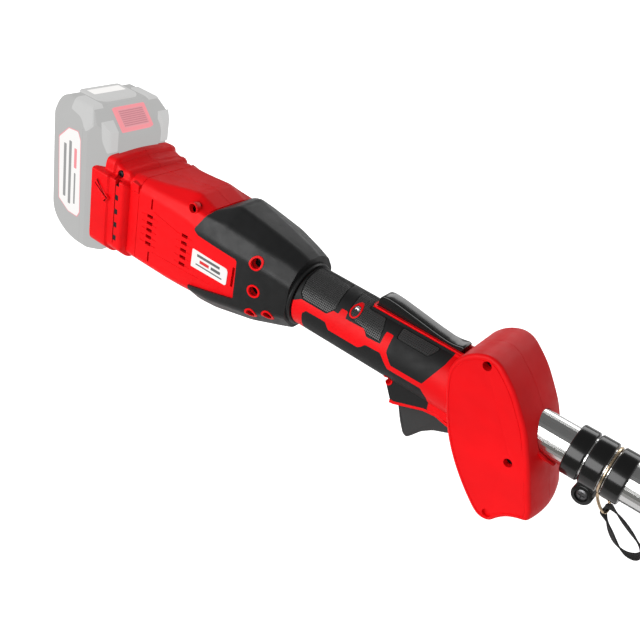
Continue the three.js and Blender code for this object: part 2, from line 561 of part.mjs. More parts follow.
function buildControls() {
  const lever = slabY([
    [PLINTH.x0 + 1.4, 22.4], [PLINTH.x0 + 1.8, 28.6], [PLINTH.x0 + 4, 31.2], [PLINTH.x0 + 8, 32],
    [PLINTH.x0 + 16, 31.4], [0, 29], [12, 27.1], [23, 25.8], [28, 26], [34, 27.2], [35.2, 26.2],
    [34.6, 24.4], [33.4, 21.4], [30, 18.6], [24, 19.6], [10, 20.8], [-4, 21.6],
  ], -LEVER_HALF, LEVER_HALF, { bevel: 1 });
  place('lock_off_lever', lever.add(rodY(PIVOT_R, -PLINTH.half + 1, PLINTH.half - 1, ...LEVER_PIVOT, 16)),
    plastic(BLACK, 0.45));

  const trigger = slabY(triggerOutline, -9, 9, { radius: 1.2, steps: 3 });
  const triggerPin = rodY(PIVOT_R, -TRIGGER_HOUSING.half, TRIGGER_HOUSING.half, ...TRIGGER_PIVOT, 16);
  place('trigger', trigger.add(triggerPin), plastic(CHARCOAL, 0.5));
  const plunger = box(2, 5, -2, 2, -23, -18.6);
  place('trigger_switch', box(-1, 14, -6, 6, -18.8, -15.9).add(plunger), plastic(BLACK, 0.6));
}

// ---------------------------------------------------------------- motor and drive line
const MOTOR = { rear: -232, front: -190, r: 23, bore: 16 };
const SLEEVE_FRONT = 838;

function squareBar(side, x0, x1) {
  const h = side / 2;
  return slabX([[-h, -h], [h, -h], [h, h], [-h, h]], x0, x1);
}

function buildDrive() {
  const can = cut(
    turnedX([[MOTOR.rear, 0], [MOTOR.rear, MOTOR.r - 2], [MOTOR.rear + 2, MOTOR.r], [MOTOR.front, MOTOR.r],
      [MOTOR.front, 0]], 32),
    rodX(MOTOR.bore, MOTOR.rear + 4, MOTOR.front + 1),
    rodX(3.4, MOTOR.rear - 1, MOTOR.rear + 5, 0, 0, 16),
  );
  place('motor_stator', can, metal(STEEL, 0.35));
  const rotor = join(
    rodX(MOTOR.bore - 0.8, MOTOR.rear + 6, MOTOR.front - 4, 0, 0, 20),
    rodX(3, MOTOR.rear - 3, -146, 0, 0, 12),
    rodX(6, MOTOR.front, MOTOR.front + 12, 0, 0, 12),
    rodX(20, MOTOR.front + 9, MOTOR.front + 11, 0, 0, 20),
  );
  const fanBlades = [0, 45, 90, 135].map((turn) =>
    box(MOTOR.front + 2, MOTOR.front + 10, -20, 20, -0.8, 0.8).rotate([turn, 0, 0]));
  place('motor_rotor', join(rotor, ...fanBlades), metal(DARK_STEEL, 0.4));
  place('front_bearing', tubeX(11.6, 3.4, -163.6, -160.4, 24), metal(STEEL, 0.3));
  const coupling = cut(rodX(9, -157, -100, 0, 0, 24), rodX(3 + 0.1, -158, -145.6, 0, 0, 16),
    squareBar(SLEEVE_SIDE + 0.4, -130, -99));
  place('drive_coupling', coupling, metal(DARK_STEEL, 0.4));
  place('drive_sleeve', cut(squareBar(SLEEVE_SIDE, -128, SLEEVE_FRONT), squareBar(SLEEVE_BORE, -120, 900)),
    metal(STEEL, 0.35));
  place('drive_shaft', squareBar(SHAFT_SIDE, INNER_REAR - 8, HEAD_X - 20.8), metal(STEEL, 0.3));
  place('control_board', join(box(-158, -120, -14, 14, -27.2, -25.6), box(-150, -136, -6, 6, -26, -19),
    box(-134, -126, -9, -3, -26, -20)), plastic(BOARD_GREEN, 0.6));
  const blades = CONTACT_ROWS.map((y) => box(-264.6, -256, y - 0.4, y + 0.4, -14, 10));
  place('terminal_block', join(box(-257, -252.3, -14, 14, -18, 14), ...blades), metal(BRASS, 0.4));
}

// ---------------------------------------------------------------- pole, collars and carrying ring
const collars = { rear: [115.6, 126.2], clamp: [127.2, 138.2], front: [141.4, 152] };
const RING_X = 139.8;
const RING_WIRE_R = 0.9;
const strapCentre = [
  [145.8, -26.2], [148.4, -30.6], [153.6, -35.2], [159.4, -40.2], [165, -43.9], [170.5, -45.2],
  [176.5, -43.4], [179.5, -38.5], [176, -33.5], [169, -29.4], [161, -25.8], [154, -23.2], [148.8, -22.8],
];
const STRAP = { half: 4.2, thickness: 1.3 };

// [x, z] of a closed track's point i, moved sideways by the distance.
function offsetPoint(track, i, distance) {
  const after = track[(i + 1) % track.length];
  const before = track[(i + track.length - 1) % track.length];
  const ahead = after.clone().sub(before).normalize();
  return [track[i].x + ahead.z * distance, track[i].z - ahead.x * distance];
}

// A collar with its rims rounded, bored to sit on a tube.
function collar(x0, x1, outer, bore, sides = 30) {
  return turnedX([[x0, bore], [x0, outer - 0.8], [x0 + 0.8, outer], [x1 - 0.8, outer], [x1, outer - 0.8],
    [x1, bore], [x0, bore]], sides);
}

function buildPole() {
  place('outer_pole', tubeX(POLE_R, POLE_BORE_R, POLE_REAR, LOCK_FRONT - 4), metal(ALUMINIUM, 0.25));
  place('inner_pole', tubeX(INNER_R, INNER_BORE_R, INNER_REAR, HEAD_X - 44, 36), metal(ALUMINIUM, 0.25));
  place('collar_rear', collar(...collars.rear, COLLAR_R, POLE_R + GAP), plastic(BLACK, 0.35));
  place('collar_front', collar(...collars.front, COLLAR_R, POLE_R + GAP), plastic(BLACK, 0.35));

  const [c0, c1] = collars.clamp;
  const mid = (c0 + c1) / 2;
  const screwZ = -COLLAR_R - 4.6;
  const bossRoot = box(c0, c1 - 0.4, -5.5, 5.5, screwZ, -COLLAR_R + 2);
  const boss = rodX(6.2, c0, c1 - 0.4, 0, screwZ + 0.6, 20).add(bossRoot);
  const clampHole = rodY(1.7, -8, 8, mid, screwZ, 12);
  const clamp = cut(collar(c0, c1, COLLAR_R, 5).add(boss), rodX(POLE_R + GAP, c0 - 1, c1 + 1),
    box(c0 - 1, c1 + 1, -0.6, 0.6, -40, -POLE_R + 1), clampHole, rodY(3.4, -20, -4.4, mid, screwZ, 16));
  place('clamp_ring', clamp, plastic(BLACK, 0.35));
  const clampScrew = turnedY([
    [-6.6, 0], [-6.6, 2.2], [-6, 2.8], [-4.7, 2.8], [-4.7, 1.4], [5, 1.4], [5, 0],
  ], mid, screwZ, 12);
  place('clamp_screw', clampScrew, metal(DARK_STEEL, 0.35));

  // Wire ring: round the pole between the collars, drawn out to a small eye below.
  const wirePath = new THREE.CatmullRomCurve3([
    ...Array.from({ length: 15 }, (_, i) => {
      const turn = THREE.MathUtils.degToRad(-62 + i * (304 / 14));
      return new THREE.Vector3(RING_X, Math.cos(turn) * (POLE_R + 1.4), Math.sin(turn) * (POLE_R + 1.4));
    }),
    new THREE.Vector3(RING_X + 1.4, -6.2, -18),
    new THREE.Vector3(RING_X + 5.4, -6.6, -22.6),
    new THREE.Vector3(RING_X + 8.4, -4.6, -26),
    new THREE.Vector3(RING_X + 8.9, 0, -26.4),
    new THREE.Vector3(RING_X + 8.4, 4.6, -26),
    new THREE.Vector3(RING_X + 5.4, 6.6, -22.6),
    new THREE.Vector3(RING_X + 1.4, 6.2, -18),
  ], true, 'catmullrom', 0.5);
  const wireShape = new THREE.Shape().absarc(0, 0, RING_WIRE_R, 0, Math.PI * 2);
  const wire = new THREE.ExtrudeGeometry(wireShape, { steps: 40, curveSegments: 3, extrudePath: wirePath });
  place('carrying_ring', solid(wire), metal(BRASS, 0.3));

  const strapCurve = new THREE.CatmullRomCurve3(
    strapCentre.map(([x, z]) => new THREE.Vector3(x, 0, z)), true, 'catmullrom', 0.5);
  const loop = strapCurve.getPoints(44).slice(0, -1);
  const offset = (distance) => loop.map((point, i) => offsetPoint(loop, i, distance));
  const strap = cut(slabY(offset(STRAP.thickness / 2), -STRAP.half, STRAP.half),
    slabY(offset(-STRAP.thickness / 2), -STRAP.half - 1, STRAP.half + 1));
  place('strap_loop', strap, plastic(WEBBING, 0.9));
}

const FOREGRIP = { x0: 330, x1: 520, r: 18.5 };

function buildForegripAndLock() {
  const { x0, x1, r } = FOREGRIP;
  const sleeve = turnedX([
    [x0, POLE_R + GAP], [x0, r - 1.5], [x0 + 2, r + 1], [x0 + 8, r + 1], [x0 + 11, r],
    [x1 - 11, r], [x1 - 8, r + 1], [x1 - 2, r + 1], [x1, r - 1.5], [x1, POLE_R + GAP], [x0, POLE_R + GAP],
  ], 28);
  place('foregrip', sleeve, plastic(BLACK, 0.9));

  // Lock: a split clamp on the outer tube, drawn tight on the inner tube by a cam lever.
  const barrel = turnedX([[LOCK_REAR, 0], [LOCK_REAR, 16], [LOCK_REAR + 3, 17.5], [LOCK_FRONT + 8, 17.5],
    [LOCK_FRONT + 12, 15.5], [LOCK_FRONT + 12, 0]], 28);
  const ears = box(LOCK_X - 6.5, LOCK_X + 6.5, 12, 25, -8, 8);
  const lock = cut(join(barrel, ears),
    rodX(POLE_R + GAP, LOCK_REAR - 1, LOCK_FRONT - 4 + GAP, 0, 0, 36),
    rodX(INNER_R + GAP, LOCK_REAR, LOCK_FRONT + 20, 0, 0, 36),
    box(LOCK_REAR + 6, LOCK_FRONT + 20, 8, 30, -1, 1),
    rodZ(2.2, -12, 12, LOCK_X, LOCK_Y, 16));
  place('pole_lock_clamp', lock, plastic(BLACK, 0.5));
  const arm = slabZ([
    [LOCK_X - 42, 19.4], [LOCK_X - 43, 23], [LOCK_X - 34, 25.4], [LOCK_X - 10, 27.2], [LOCK_X, 26.6],
    [LOCK_X + 3.9, 25.3], [LOCK_X + 5.2, LOCK_Y], [LOCK_X + 3.9, 17.6], [LOCK_X, 16.6], [LOCK_X - 12, 19.4],
  ], -11.6, 11.6, { bevel: 1 });
  const forkRoom = box(LOCK_X - 13, LOCK_X + 12, 0, 40, -8.3, 8.3);
  const lever = cut(arm, forkRoom, rodZ(2.2, -20, 20, LOCK_X, LOCK_Y, 16));
  place('pole_lock_lever', lever, plastic(RED, 0.4));
  place('pole_lock_pin', rodZ(2, -11.4, 11.4, LOCK_X, LOCK_Y, 16), metal(STEEL, 0.3));
}

// ---------------------------------------------------------------- saw head
const PINION_TEETH = 12;
const GEAR_TEETH = 18;
const PINION_R = 9;
const GEAR_R = PINION_R * GEAR_TEETH / PINION_TEETH;
const AXLE_R = 4;
const SPROCKET_R = 13;
const SPROCKET_TEETH = 7;
const STUD = [HEAD_X + 50, 0];
const BAR_HALF_THICKNESS = 2.2;
const CHAIN_HALF = 3.2;
const NOSE_CENTRE_X = BAR_TIP - 18;
const CHAIN_FRONT = 1517.2;

// Closed ring of trapezoid teeth; `phase` counts in teeth.
function toothedRing(x, teeth, tip, root, phase) {
  const points = [];
  for (let tooth = 0; tooth < teeth; tooth += 1) {
    [[-0.28, root], [-0.14, tip], [0.14, tip], [0.28, root]].forEach(([shift, r]) => {
      const turn = ((tooth + phase + shift) / teeth) * Math.PI * 2;
      points.push([Math.cos(turn) * r, Math.sin(turn) * r]);
    });
  }
  return { x, points };
}

// A bevel gear on the X axis whose apex is the origin and whose big end faces -X.
function bevelGear(teeth, pitchR, apexDistance, phase) {
  const [tip, root] = [pitchR * 1.1, pitchR * 0.87];
  const ring = (scale) => toothedRing(-apexDistance * scale, teeth, tip * scale, root * scale, phase);
  return loft([ring(1), ring(0.6)]);
}

// Edge of the guide bar, run on round the drive sprocket: the track that the chain follows.
function chainTrack(grow) {
  const arc = (cx, r, from, to, steps) => Array.from({ length: steps + 1 }, (_, i) => {
    const turn = THREE.MathUtils.degToRad(from + (to - from) * (i / steps));
    return [cx + Math.cos(turn) * (r + grow), Math.sin(turn) * (r + grow)];
  });
  return [
    ...arc(HEAD_X, SPROCKET_R + 1.4, 100, 260, 8),
    [HEAD_X + 60, -21 - grow], [HEAD_X + 140, -23.4 - grow], [HEAD_X + 230, -21.6 - grow],
    ...arc(NOSE_CENTRE_X, 17.4, -75, 75, 8),
    [HEAD_X + 230, 21.6 + grow], [HEAD_X + 140, 23.4 + grow], [HEAD_X + 60, 21 + grow],
  ];
}

function buildChain() {
  const track = new THREE.CatmullRomCurve3(
    chainTrack(0.4).map(([x, z]) => new THREE.Vector3(x, 0, z)), true, 'centripetal');
  const links = 36;
  const stations = track.getSpacedPoints(links * 3).slice(0, -1);
  const heights = [3.4, 6.6, 5.8];
  const outline = stations.map((_, i) => offsetPoint(stations, i, heights[i % heights.length]));
  const inner = stations.map((point) => [point.x, point.z]);
  const band = slabY(outline, BAR_Y - CHAIN_HALF, BAR_Y + CHAIN_HALF);
  place('saw_chain', cut(band, slabY(inner, BAR_Y - 10, BAR_Y + 10)), metal(DARK_STEEL, 0.35));
}

const gearboxOutline = [
  [1158, -22], [1158, 24], [1166, 30], [1236, 30], [1262, 22], [1262, -20], [1240, -26], [1166, -26],
];

function buildHead() {
  const gearbox = join(
    turnedX([[1118, 0], [1118, 15], [1121, 17], [1163, 19.5], [1163, 0]], 28),
    slabY(gearboxOutline, -12.8, 22, { radius: 5, steps: 2, bevel: 1.6 }),
    slabY([[1215, -15], [1215, 15], [1262, 15], [1262, -15]], BAR_Y + BAR_HALF_THICKNESS + GAP, -11),
  );
  const gearRoom = join(
    rodX(10.8, HEAD_X - 21, HEAD_X - 8, 0, 0, 20), rodY(17.5, 4.4, 15, HEAD_X, 0, 20),
    rodY(10.8, -9, 10, HEAD_X, 0, 20), box(1213, 1229, -9, 18, -20, 24));
  const gearboxShell = cut(gearbox,
    rodX(INNER_R + GAP, 1117, HEAD_X - 44 + GAP, 0, 0, 36), rodX(6.4, 1140, HEAD_X - 20, 0, 0, 20), gearRoom,
    rodY(AXLE_R + 0.1, -40, 18, HEAD_X, 0, 16), rodY(3.9, -60, -6.5, ...STUD, 16),
    rodX(2.5, 1238, 1270, -16, -14, 12));
  place('gearbox_right', rightSide(gearboxShell), plastic(RED, 0.4));
  place('gearbox_left', leftSide(gearboxShell), plastic(RED, 0.4));

  const pinionHub = rodX(7, -20.5, -GEAR_R + 0.01, 0, 0, 20);
  const pinion = join(bevelGear(PINION_TEETH, PINION_R, GEAR_R, 0.5), pinionHub);
  place('bevel_pinion', pinion.translate([HEAD_X, 0, 0]), metal(STEEL, 0.3));
  // Turned so that its axis is Y and its big end faces +Y, with a tooth towards the pinion.
  const gear = cut(join(bevelGear(GEAR_TEETH, GEAR_R, PINION_R, 0), rodX(9, -14, -PINION_R + 0.01, 0, 0, 20)),
    rodX(AXLE_R + 0.1, -20, 5, 0, 0, 20));
  place('bevel_gear', gear.rotate([0, 0, -90]).translate([HEAD_X, 0, 0]), metal(STEEL, 0.3));
  place('sprocket_axle', rodY(AXLE_R, -30, 16, HEAD_X, 0, 16), metal(STEEL, 0.3));
  const sprocketRing = (x) => toothedRing(x, SPROCKET_TEETH, SPROCKET_R, SPROCKET_R - 3, 0);
  const sprocket = cut(loft([sprocketRing(-CHAIN_HALF), sprocketRing(CHAIN_HALF)]),
    rodX(AXLE_R + 0.1, -9, 9, 0, 0, 20));
  place('drive_sprocket', sprocket.rotate([0, 0, 90]).translate([HEAD_X, BAR_Y, 0]), metal(DARK_STEEL, 0.35));

  const bar = slabY([[HEAD_X + 24, 15], [HEAD_X + 24, -15], ...chainTrack(0).slice(9)],
    BAR_Y - BAR_HALF_THICKNESS, BAR_Y + BAR_HALF_THICKNESS);
  const slot = slabY([[STUD[0] - 16, -4.2], [STUD[0] + 12, -4.2], [STUD[0] + 12, 4.2], [STUD[0] - 16, 4.2]],
    BAR_Y - 9, BAR_Y + 9, { radius: 4 });
  place('guide_bar', cut(bar, slot), metal(STEEL, 0.3));
  buildChain();

  const coverOutline = [
    [1164, -27], [1164, 27], [1176, 35], [1240, 35.5], [1262, 33], [1262, -33], [1240, -35.5], [1176, -35],
  ];
  const cover = cut(
    slabY(coverOutline, -34, -13.1, { radius: 6, steps: 2, bevel: 1.5 }),
    slabY(scaledAbout(coverOutline, [1214, 0], 0.92), -31.6, -10, { radius: 6, steps: 2 }),
    box(1250, 1300, -31.5, -10, -31.5, 31.5), rodY(4.2, -50, -30, ...STUD, 16));
  place('sprocket_cover', cover, plastic(BLACK, 0.5));
  place('bar_stud', rodY(3.6, -38, -7, ...STUD, 16), metal(STEEL, 0.3));
  const [nutOuter, nutInner] = [-38.2, -34.3];
  const lobes = [0, 60, 120].map((turn) => {
    const wing = box(-9.5, 9.5, nutOuter, nutInner, -3.4, 3.4);
    return wing.rotate([0, turn, 0]).translate([STUD[0], 0, STUD[1]]);
  });
  const nut = join(rodY(7.5, nutOuter, nutInner, ...STUD, 18), ...lobes);
  place('bar_nut', cut(nut, rodY(3.9, -50, -30, ...STUD, 16)), plastic(RED, 0.4));
  place('chain_tension_screw', rodX(2.2, 1240, 1263, -16, -14, 12).add(rodX(3.6, 1262.6, 1266, -16, -14, 12)),
    metal(STEEL, 0.3));

  const tankOutline = [[1168, 30.3], [1168, 47], [1176, 53], [1222, 53], [1236, 45], [1236, 30.3]];
  const filler = [1192, 3];
  const tank = cut(slabY(tankOutline, -12.7, 20, { bevel: 1.6 }),
    box(1172, 1230, -9.7, 17, 34, 49), rodZ(6.4, 40, 60, ...filler));
  place('oil_tank', tank, plastic(TANK_BROWN, 0.3));
  const knurl = Array.from({ length: 8 }, (_, i) => {
    const turn = i * Math.PI / 4;
    return rodZ(1.2, 53.3, 60, filler[0] + Math.cos(turn) * 9.2, filler[1] + Math.sin(turn) * 9.2, 8);
  });
  const cap = join(rodZ(9, 53.3, 60.4, ...filler, 24), rodZ(6, 46, 54, ...filler, 20));
  place('oil_cap', cut(cap, ...knurl), plastic(BLACK, 0.5));

  place('branch_hook', slabY([
    [1184, -26.3], [1216, -26.3], [1209, -44], [1212, -57], [1207, FLOOR_Z], [1178, FLOOR_Z], [1166, -60.5],
    [1168, -56.6], [1184, -58.4], [1193, -52], [1191, -40],
  ], -11, 11, { bevel: 1.2 }), plastic(BLACK, 0.5));
}

buildBattery();
buildHousing();
buildHandle();
buildControls();
buildDrive();
buildPole();
buildForegripAndLock();
buildHead();

// The origin goes to the middle of the footprint, on the surface that the tool stands on.
tool.position.set(-(BATTERY_REAR + CHAIN_FRONT) / 2, 0, -FLOOR_Z);

export default tool;
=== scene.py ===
"""Telescoping pole saw: fine surfaces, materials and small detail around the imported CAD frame."""
import json
import math

import bmesh
import bpy
from mathutils import Matrix, Vector


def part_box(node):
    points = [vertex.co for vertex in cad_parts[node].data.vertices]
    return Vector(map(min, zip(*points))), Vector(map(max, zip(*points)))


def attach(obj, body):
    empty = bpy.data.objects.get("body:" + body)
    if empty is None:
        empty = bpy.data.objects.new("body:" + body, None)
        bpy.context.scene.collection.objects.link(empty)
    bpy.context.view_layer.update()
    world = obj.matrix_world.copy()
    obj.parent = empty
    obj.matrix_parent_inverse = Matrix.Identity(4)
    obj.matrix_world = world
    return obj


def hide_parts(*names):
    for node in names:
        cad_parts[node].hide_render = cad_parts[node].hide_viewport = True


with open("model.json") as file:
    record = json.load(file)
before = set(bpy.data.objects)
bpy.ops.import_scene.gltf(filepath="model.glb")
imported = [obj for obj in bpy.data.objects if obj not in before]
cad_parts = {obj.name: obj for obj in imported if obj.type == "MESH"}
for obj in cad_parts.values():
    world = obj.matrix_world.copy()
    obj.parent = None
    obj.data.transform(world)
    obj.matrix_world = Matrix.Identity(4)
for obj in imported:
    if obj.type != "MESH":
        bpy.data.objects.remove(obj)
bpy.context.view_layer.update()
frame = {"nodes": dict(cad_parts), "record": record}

MM = 0.001
NODES = frame["nodes"]

# The pole axis is the tool's own X axis; x counts from the middle of the rear grip, in millimetres.
pole_low, pole_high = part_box("outer_pole")
POLE_REAR = -64
ORIGIN = Vector((pole_low[0] - POLE_REAR * MM, 0, (pole_low[2] + pole_high[2]) / 2))
FLOOR_Z = -ORIGIN.z / MM
POLE_R = (pole_high[2] - pole_low[2]) / 2 / MM
GAP = 0.3


def at(x, y, z):
    """A point given in millimetres in the tool's own axes, as a place in the scene."""
    return ORIGIN + Vector((x, y, z)) * MM


# ---------------------------------------------------------------- shader nodes
def feed(tree, node, inputs):
    """Sets inputs of a node; an input whose value is a socket is linked to it."""
    for socket, value in inputs.items():
        if isinstance(value, bpy.types.NodeSocket):
            tree.links.new(value, node.inputs[socket])
        else:
            node.inputs[socket].default_value = value


def add_node(tree, kind, inputs=None, **settings):
    node = tree.nodes.new("ShaderNode" + kind)
    for setting, value in settings.items():
        setattr(node, setting, value)
    feed(tree, node, inputs or {})
    return node


def add_ramp(tree, source, stops):
    """Colour ramp over a 0 to 1 source, from two (position, colour) stops."""
    ramp = add_node(tree, "ValToRGB", {"Fac": source})
    for element, (position, colour) in zip(ramp.color_ramp.elements, stops):
        element.position = position
        element.color = (*colour, 1)
    return ramp.outputs["Color"]


def feed_shader(material, inputs):
    feed(material.node_tree, material.node_tree.nodes["Principled BSDF"], inputs)


def new_material(name, colour, roughness, metallic=0.0, specular=0.35):
    material = bpy.data.materials.new(name)
    material.use_nodes = True
    feed_shader(material, {"Base Color": (*colour, 1), "Roughness": roughness, "Metallic": metallic,
                           "Specular IOR Level": specular})
    return material


# ---------------------------------------------------------------- camera and light
# Where the camera stands in the tool's axes, the directions of its picture, its lens and its sensor width.
CAMERA_PLACE = (185.99, -422.75, 298.79)
CAMERA_RIGHT = Vector((0.76991, 0.61040, 0.18612))
CAMERA_DOWN = Vector((0.46015, -0.32895, -0.82465))
CAMERA_FORWARD = Vector((-0.44214, 0.72056, -0.53414))
CAMERA_LENS = 47.42
SENSOR_WIDTH = 36
# The world's light fades from the band at the horizon to the ceiling between two heights of the sky.
BAND_LIGHT = 0.42
CEILING_LIGHT = 0.13
BAND_TOP = 0.60
CEILING_START = 0.80
FLOOR_REACH = 30
FLOOR_GREY = (0.3, 0.3, 0.3)
FLOOR_LIGHT = 0.5
# The floor glows more to the camera, and reflections find it dark on the camera's side of the tool.
FLOOR_CAMERA_LIGHT = 0.75
FLOOR_DARK = (0.16, 0.16, 0.15)
DARK_START_Y = -0.06
DARK_FULL_Y = -0.085


def make_camera():
    """Looks down on the grip from the right-hand side, with the saw head out of view."""
    data = bpy.data.cameras.new("camera")
    data.lens = CAMERA_LENS
    data.sensor_width = SENSOR_WIDTH
    data.clip_start = 0.01
    camera = bpy.data.objects.new("camera", data)
    bpy.context.collection.objects.link(camera)
    axes = Matrix((CAMERA_RIGHT, -CAMERA_DOWN, -CAMERA_FORWARD)).transposed().to_4x4()
    camera.matrix_world = Matrix.Translation(at(*CAMERA_PLACE)) @ axes
    bpy.context.scene.camera = camera


def area_light(name, place, target, width, height, watts):
    """A lamp that faces its target; its size is in metres."""
    data = bpy.data.lights.new(name, "AREA")
    data.energy = watts
    data.shape = "RECTANGLE"
    data.size = width
    data.size_y = height
    lamp = bpy.data.objects.new(name, data)
    bpy.context.collection.objects.link(lamp)
    lamp.location = place
    lamp.rotation_euler = (target - place).to_track_quat("-Z", "Y").to_euler()


def studio_world():
    """White to the camera; as light, a bright band round the horizon under a dim ceiling."""
    world = bpy.data.worlds.new("studio")
    world.use_nodes = True
    tree = world.node_tree
    direction = add_node(tree, "TexCoord").outputs["Generated"]
    height = add_node(tree, "SeparateXYZ", {0: direction}).outputs["Z"]
    light = add_ramp(tree, height, ((BAND_TOP, [BAND_LIGHT] * 3), (CEILING_START, [CEILING_LIGHT] * 3)))
    to_camera = add_node(tree, "LightPath").outputs["Is Camera Ray"]
    mix = add_node(tree, "Mix", {"Factor": to_camera, "A": light, "B": (1, 1, 1, 1)}, data_type="RGBA")
    feed(tree, tree.nodes["Background"], {"Color": mix.outputs["Result"]})
    bpy.context.scene.world = world


def make_floor():
    """White sweep that glows a little; only mirror-like reflections see it darker in front of the tool."""
    mesh = bpy.data.meshes.new("floor")
    corners = [(x * FLOOR_REACH, y * FLOOR_REACH, 0) for x, y in ((-1, -1), (1, -1), (1, 1), (-1, 1))]
    mesh.from_pydata(corners, [], [(0, 1, 2, 3)])
    floor = bpy.data.objects.new("floor", mesh)
    bpy.context.collection.objects.link(floor)
    material = new_material("floor", FLOOR_GREY, 0.9, specular=0.5)
    feed_shader(material, {"Emission Color": (1, 1, 1, 1), "Emission Strength": FLOOR_LIGHT})
    tree = material.node_tree
    plain = tree.nodes["Principled BSDF"].outputs["BSDF"]
    place = add_node(tree, "TexCoord").outputs["Object"]
    across = add_node(tree, "SeparateXYZ", {0: place}).outputs["Y"]
    near = add_node(tree, "MapRange", {"Value": across, "From Min": DARK_START_Y, "From Max": DARK_FULL_Y},
                    interpolation_type="SMOOTHSTEP").outputs["Result"]
    rays = add_node(tree, "LightPath").outputs
    darkness = add_node(tree, "Math", {0: near, 1: rays["Is Glossy Ray"]}, operation="MULTIPLY").outputs[0]
    dark = add_node(tree, "Emission", {"Color": (*FLOOR_DARK, 1)}).outputs["Emission"]
    to_light = add_node(tree, "MixShader", {"Fac": darkness, 1: plain, 2: dark}).outputs["Shader"]
    glow = add_node(tree, "Emission", {"Strength": FLOOR_CAMERA_LIGHT}).outputs["Emission"]
    to_camera = add_node(tree, "AddShader", {0: plain, 1: glow}).outputs["Shader"]
    surface = add_node(tree, "MixShader", {"Fac": rays["Is Camera Ray"], 1: to_light, 2: to_camera})
    feed(tree, tree.nodes["Material Output"], {"Surface": surface.outputs["Shader"]})
    mesh.materials.append(material)


make_camera()
bpy.context.scene.view_settings.view_transform = "Standard"
studio_world()
make_floor()
area_light("key", at(-450, -1250, 420), at(-100, 0, 0), 1.7, 0.9, 20)
area_light("back", at(-100, 1300, 700), at(0, 0, 0), 1.8, 0.6, 8)


# ---------------------------------------------------------------- materials
# Noise mostly keeps between these two values.
NOISE_LOW = 0.3
NOISE_HIGH = 0.7
# Features to the metre: flow marks, uneven gloss and grain of plastic; lines and stains of metal; yarns.
FLOW_SCALE = 28
GLOSS_SCALE = 160
GRAIN_SCALE = 2200
LINE_SCALE = 1800
STAIN_SCALE = 40
YARN_SCALE = 900
# A self-lit pale plastic's own colour is this bright under its painted glow.
SELF_LIT_BASE = 0.055


def object_noise(material, scale, detail=4, stretch=(1, 1, 1)):
    """Noise fixed to the object, `scale` features to the metre."""
    tree = material.node_tree
    place = add_node(tree, "TexCoord").outputs["Object"]
    spread = add_node(tree, "Mapping", {"Vector": place, "Scale": stretch}).outputs["Vector"]
    return add_node(tree, "TexNoise", {"Vector": spread, "Scale": scale, "Detail": detail}).outputs["Fac"]


def vary(material, socket, source, low, high):
    """Drives a number of the shader between two values by a 0 to 1 source."""
    spread = add_node(material.node_tree, "MapRange", {
        "Value": source, "From Min": NOISE_LOW, "From Max": NOISE_HIGH, "To Min": low, "To Max": high})
    feed_shader(material, {socket: spread.outputs["Result"]})


def tint(material, source, dark, light):
    """Colours the shader between two colours by a 0 to 1 source."""
    ramp = add_ramp(material.node_tree, source, ((NOISE_LOW, dark), (NOISE_HIGH, light)))
    feed_shader(material, {"Base Color": ramp})


def relief(material, source, depth):
    """Raises the surface by up to `depth` millimetres where the source is bright."""
    bump = add_node(material.node_tree, "Bump", {"Height": source, "Strength": 1, "Distance": depth * MM})
    feed_shader(material, {"Normal": bump.outputs["Normal"]})


def scaled(colour, factor):
    return tuple(c * factor for c in colour)


def moulded(name, colour, roughness, grain=0.02, specular=0.35, shade=0.12):
    """Injection-moulded plastic: fine spark-eroded grain, faint flow marks in colour and gloss."""
    material = new_material(name, colour, roughness, specular=specular)
    flow = object_noise(material, FLOW_SCALE, detail=3, stretch=(0.5, 1, 1))
    tint(material, flow, scaled(colour, 1 - shade), scaled(colour, 1 + shade / 2))
    vary(material, "Roughness", object_noise(material, GLOSS_SCALE), roughness * 0.85, roughness * 1.15)
    relief(material, object_noise(material, GRAIN_SCALE, detail=2), grain)
    return material


def metallic(name, colour, roughness, grain=0.01, stretch=(0.04, 1, 1)):
    """Drawn or ground metal: fine lines along the stretched axis and uneven gloss."""
    material = new_material(name, colour, roughness, metallic=1.0, specular=0.5)
    lines = object_noise(material, LINE_SCALE, detail=3, stretch=stretch)
    vary(material, "Roughness", lines, roughness * 0.7, roughness * 1.3)
    tint(material, object_noise(material, STAIN_SCALE), scaled(colour, 0.94), colour)
    relief(material, lines, grain)
    return material


def woven(name, colour, pitch):
    """Webbing: crossing ribs of warp and weft, and yarns of slightly different black."""
    material = new_material(name, colour, 0.85, specular=0.2)
    tree = material.node_tree
    place = add_node(tree, "TexCoord").outputs["UV"]
    scale = 1 / (pitch * MM) / 20
    ribs = [add_node(tree, "TexWave", {"Vector": place, "Scale": scale}, bands_direction=way)
            for way in ("X", "Y")]
    warp, weft = (wave.outputs["Fac"] for wave in ribs)
    both = add_node(tree, "Math", {0: warp, 1: weft}, operation="MULTIPLY")
    relief(material, both.outputs[0], 0.25)
    tint(material, object_noise(material, YARN_SCALE), scaled(colour, 0.6), scaled(colour, 1.6))
    return material


def self_lit(name, glow):
    """Pale, even plastic with a painted glow: its emission lights it from within, whatever the lamps do."""
    under = tuple(SELF_LIT_BASE * g / max(glow) for g in glow)
    material = moulded(name, under, 0.6, grain=0.03, specular=0.12, shade=0.1)
    feed_shader(material, {"Emission Color": (*glow, 1), "Emission Strength": 1.0})
    return material


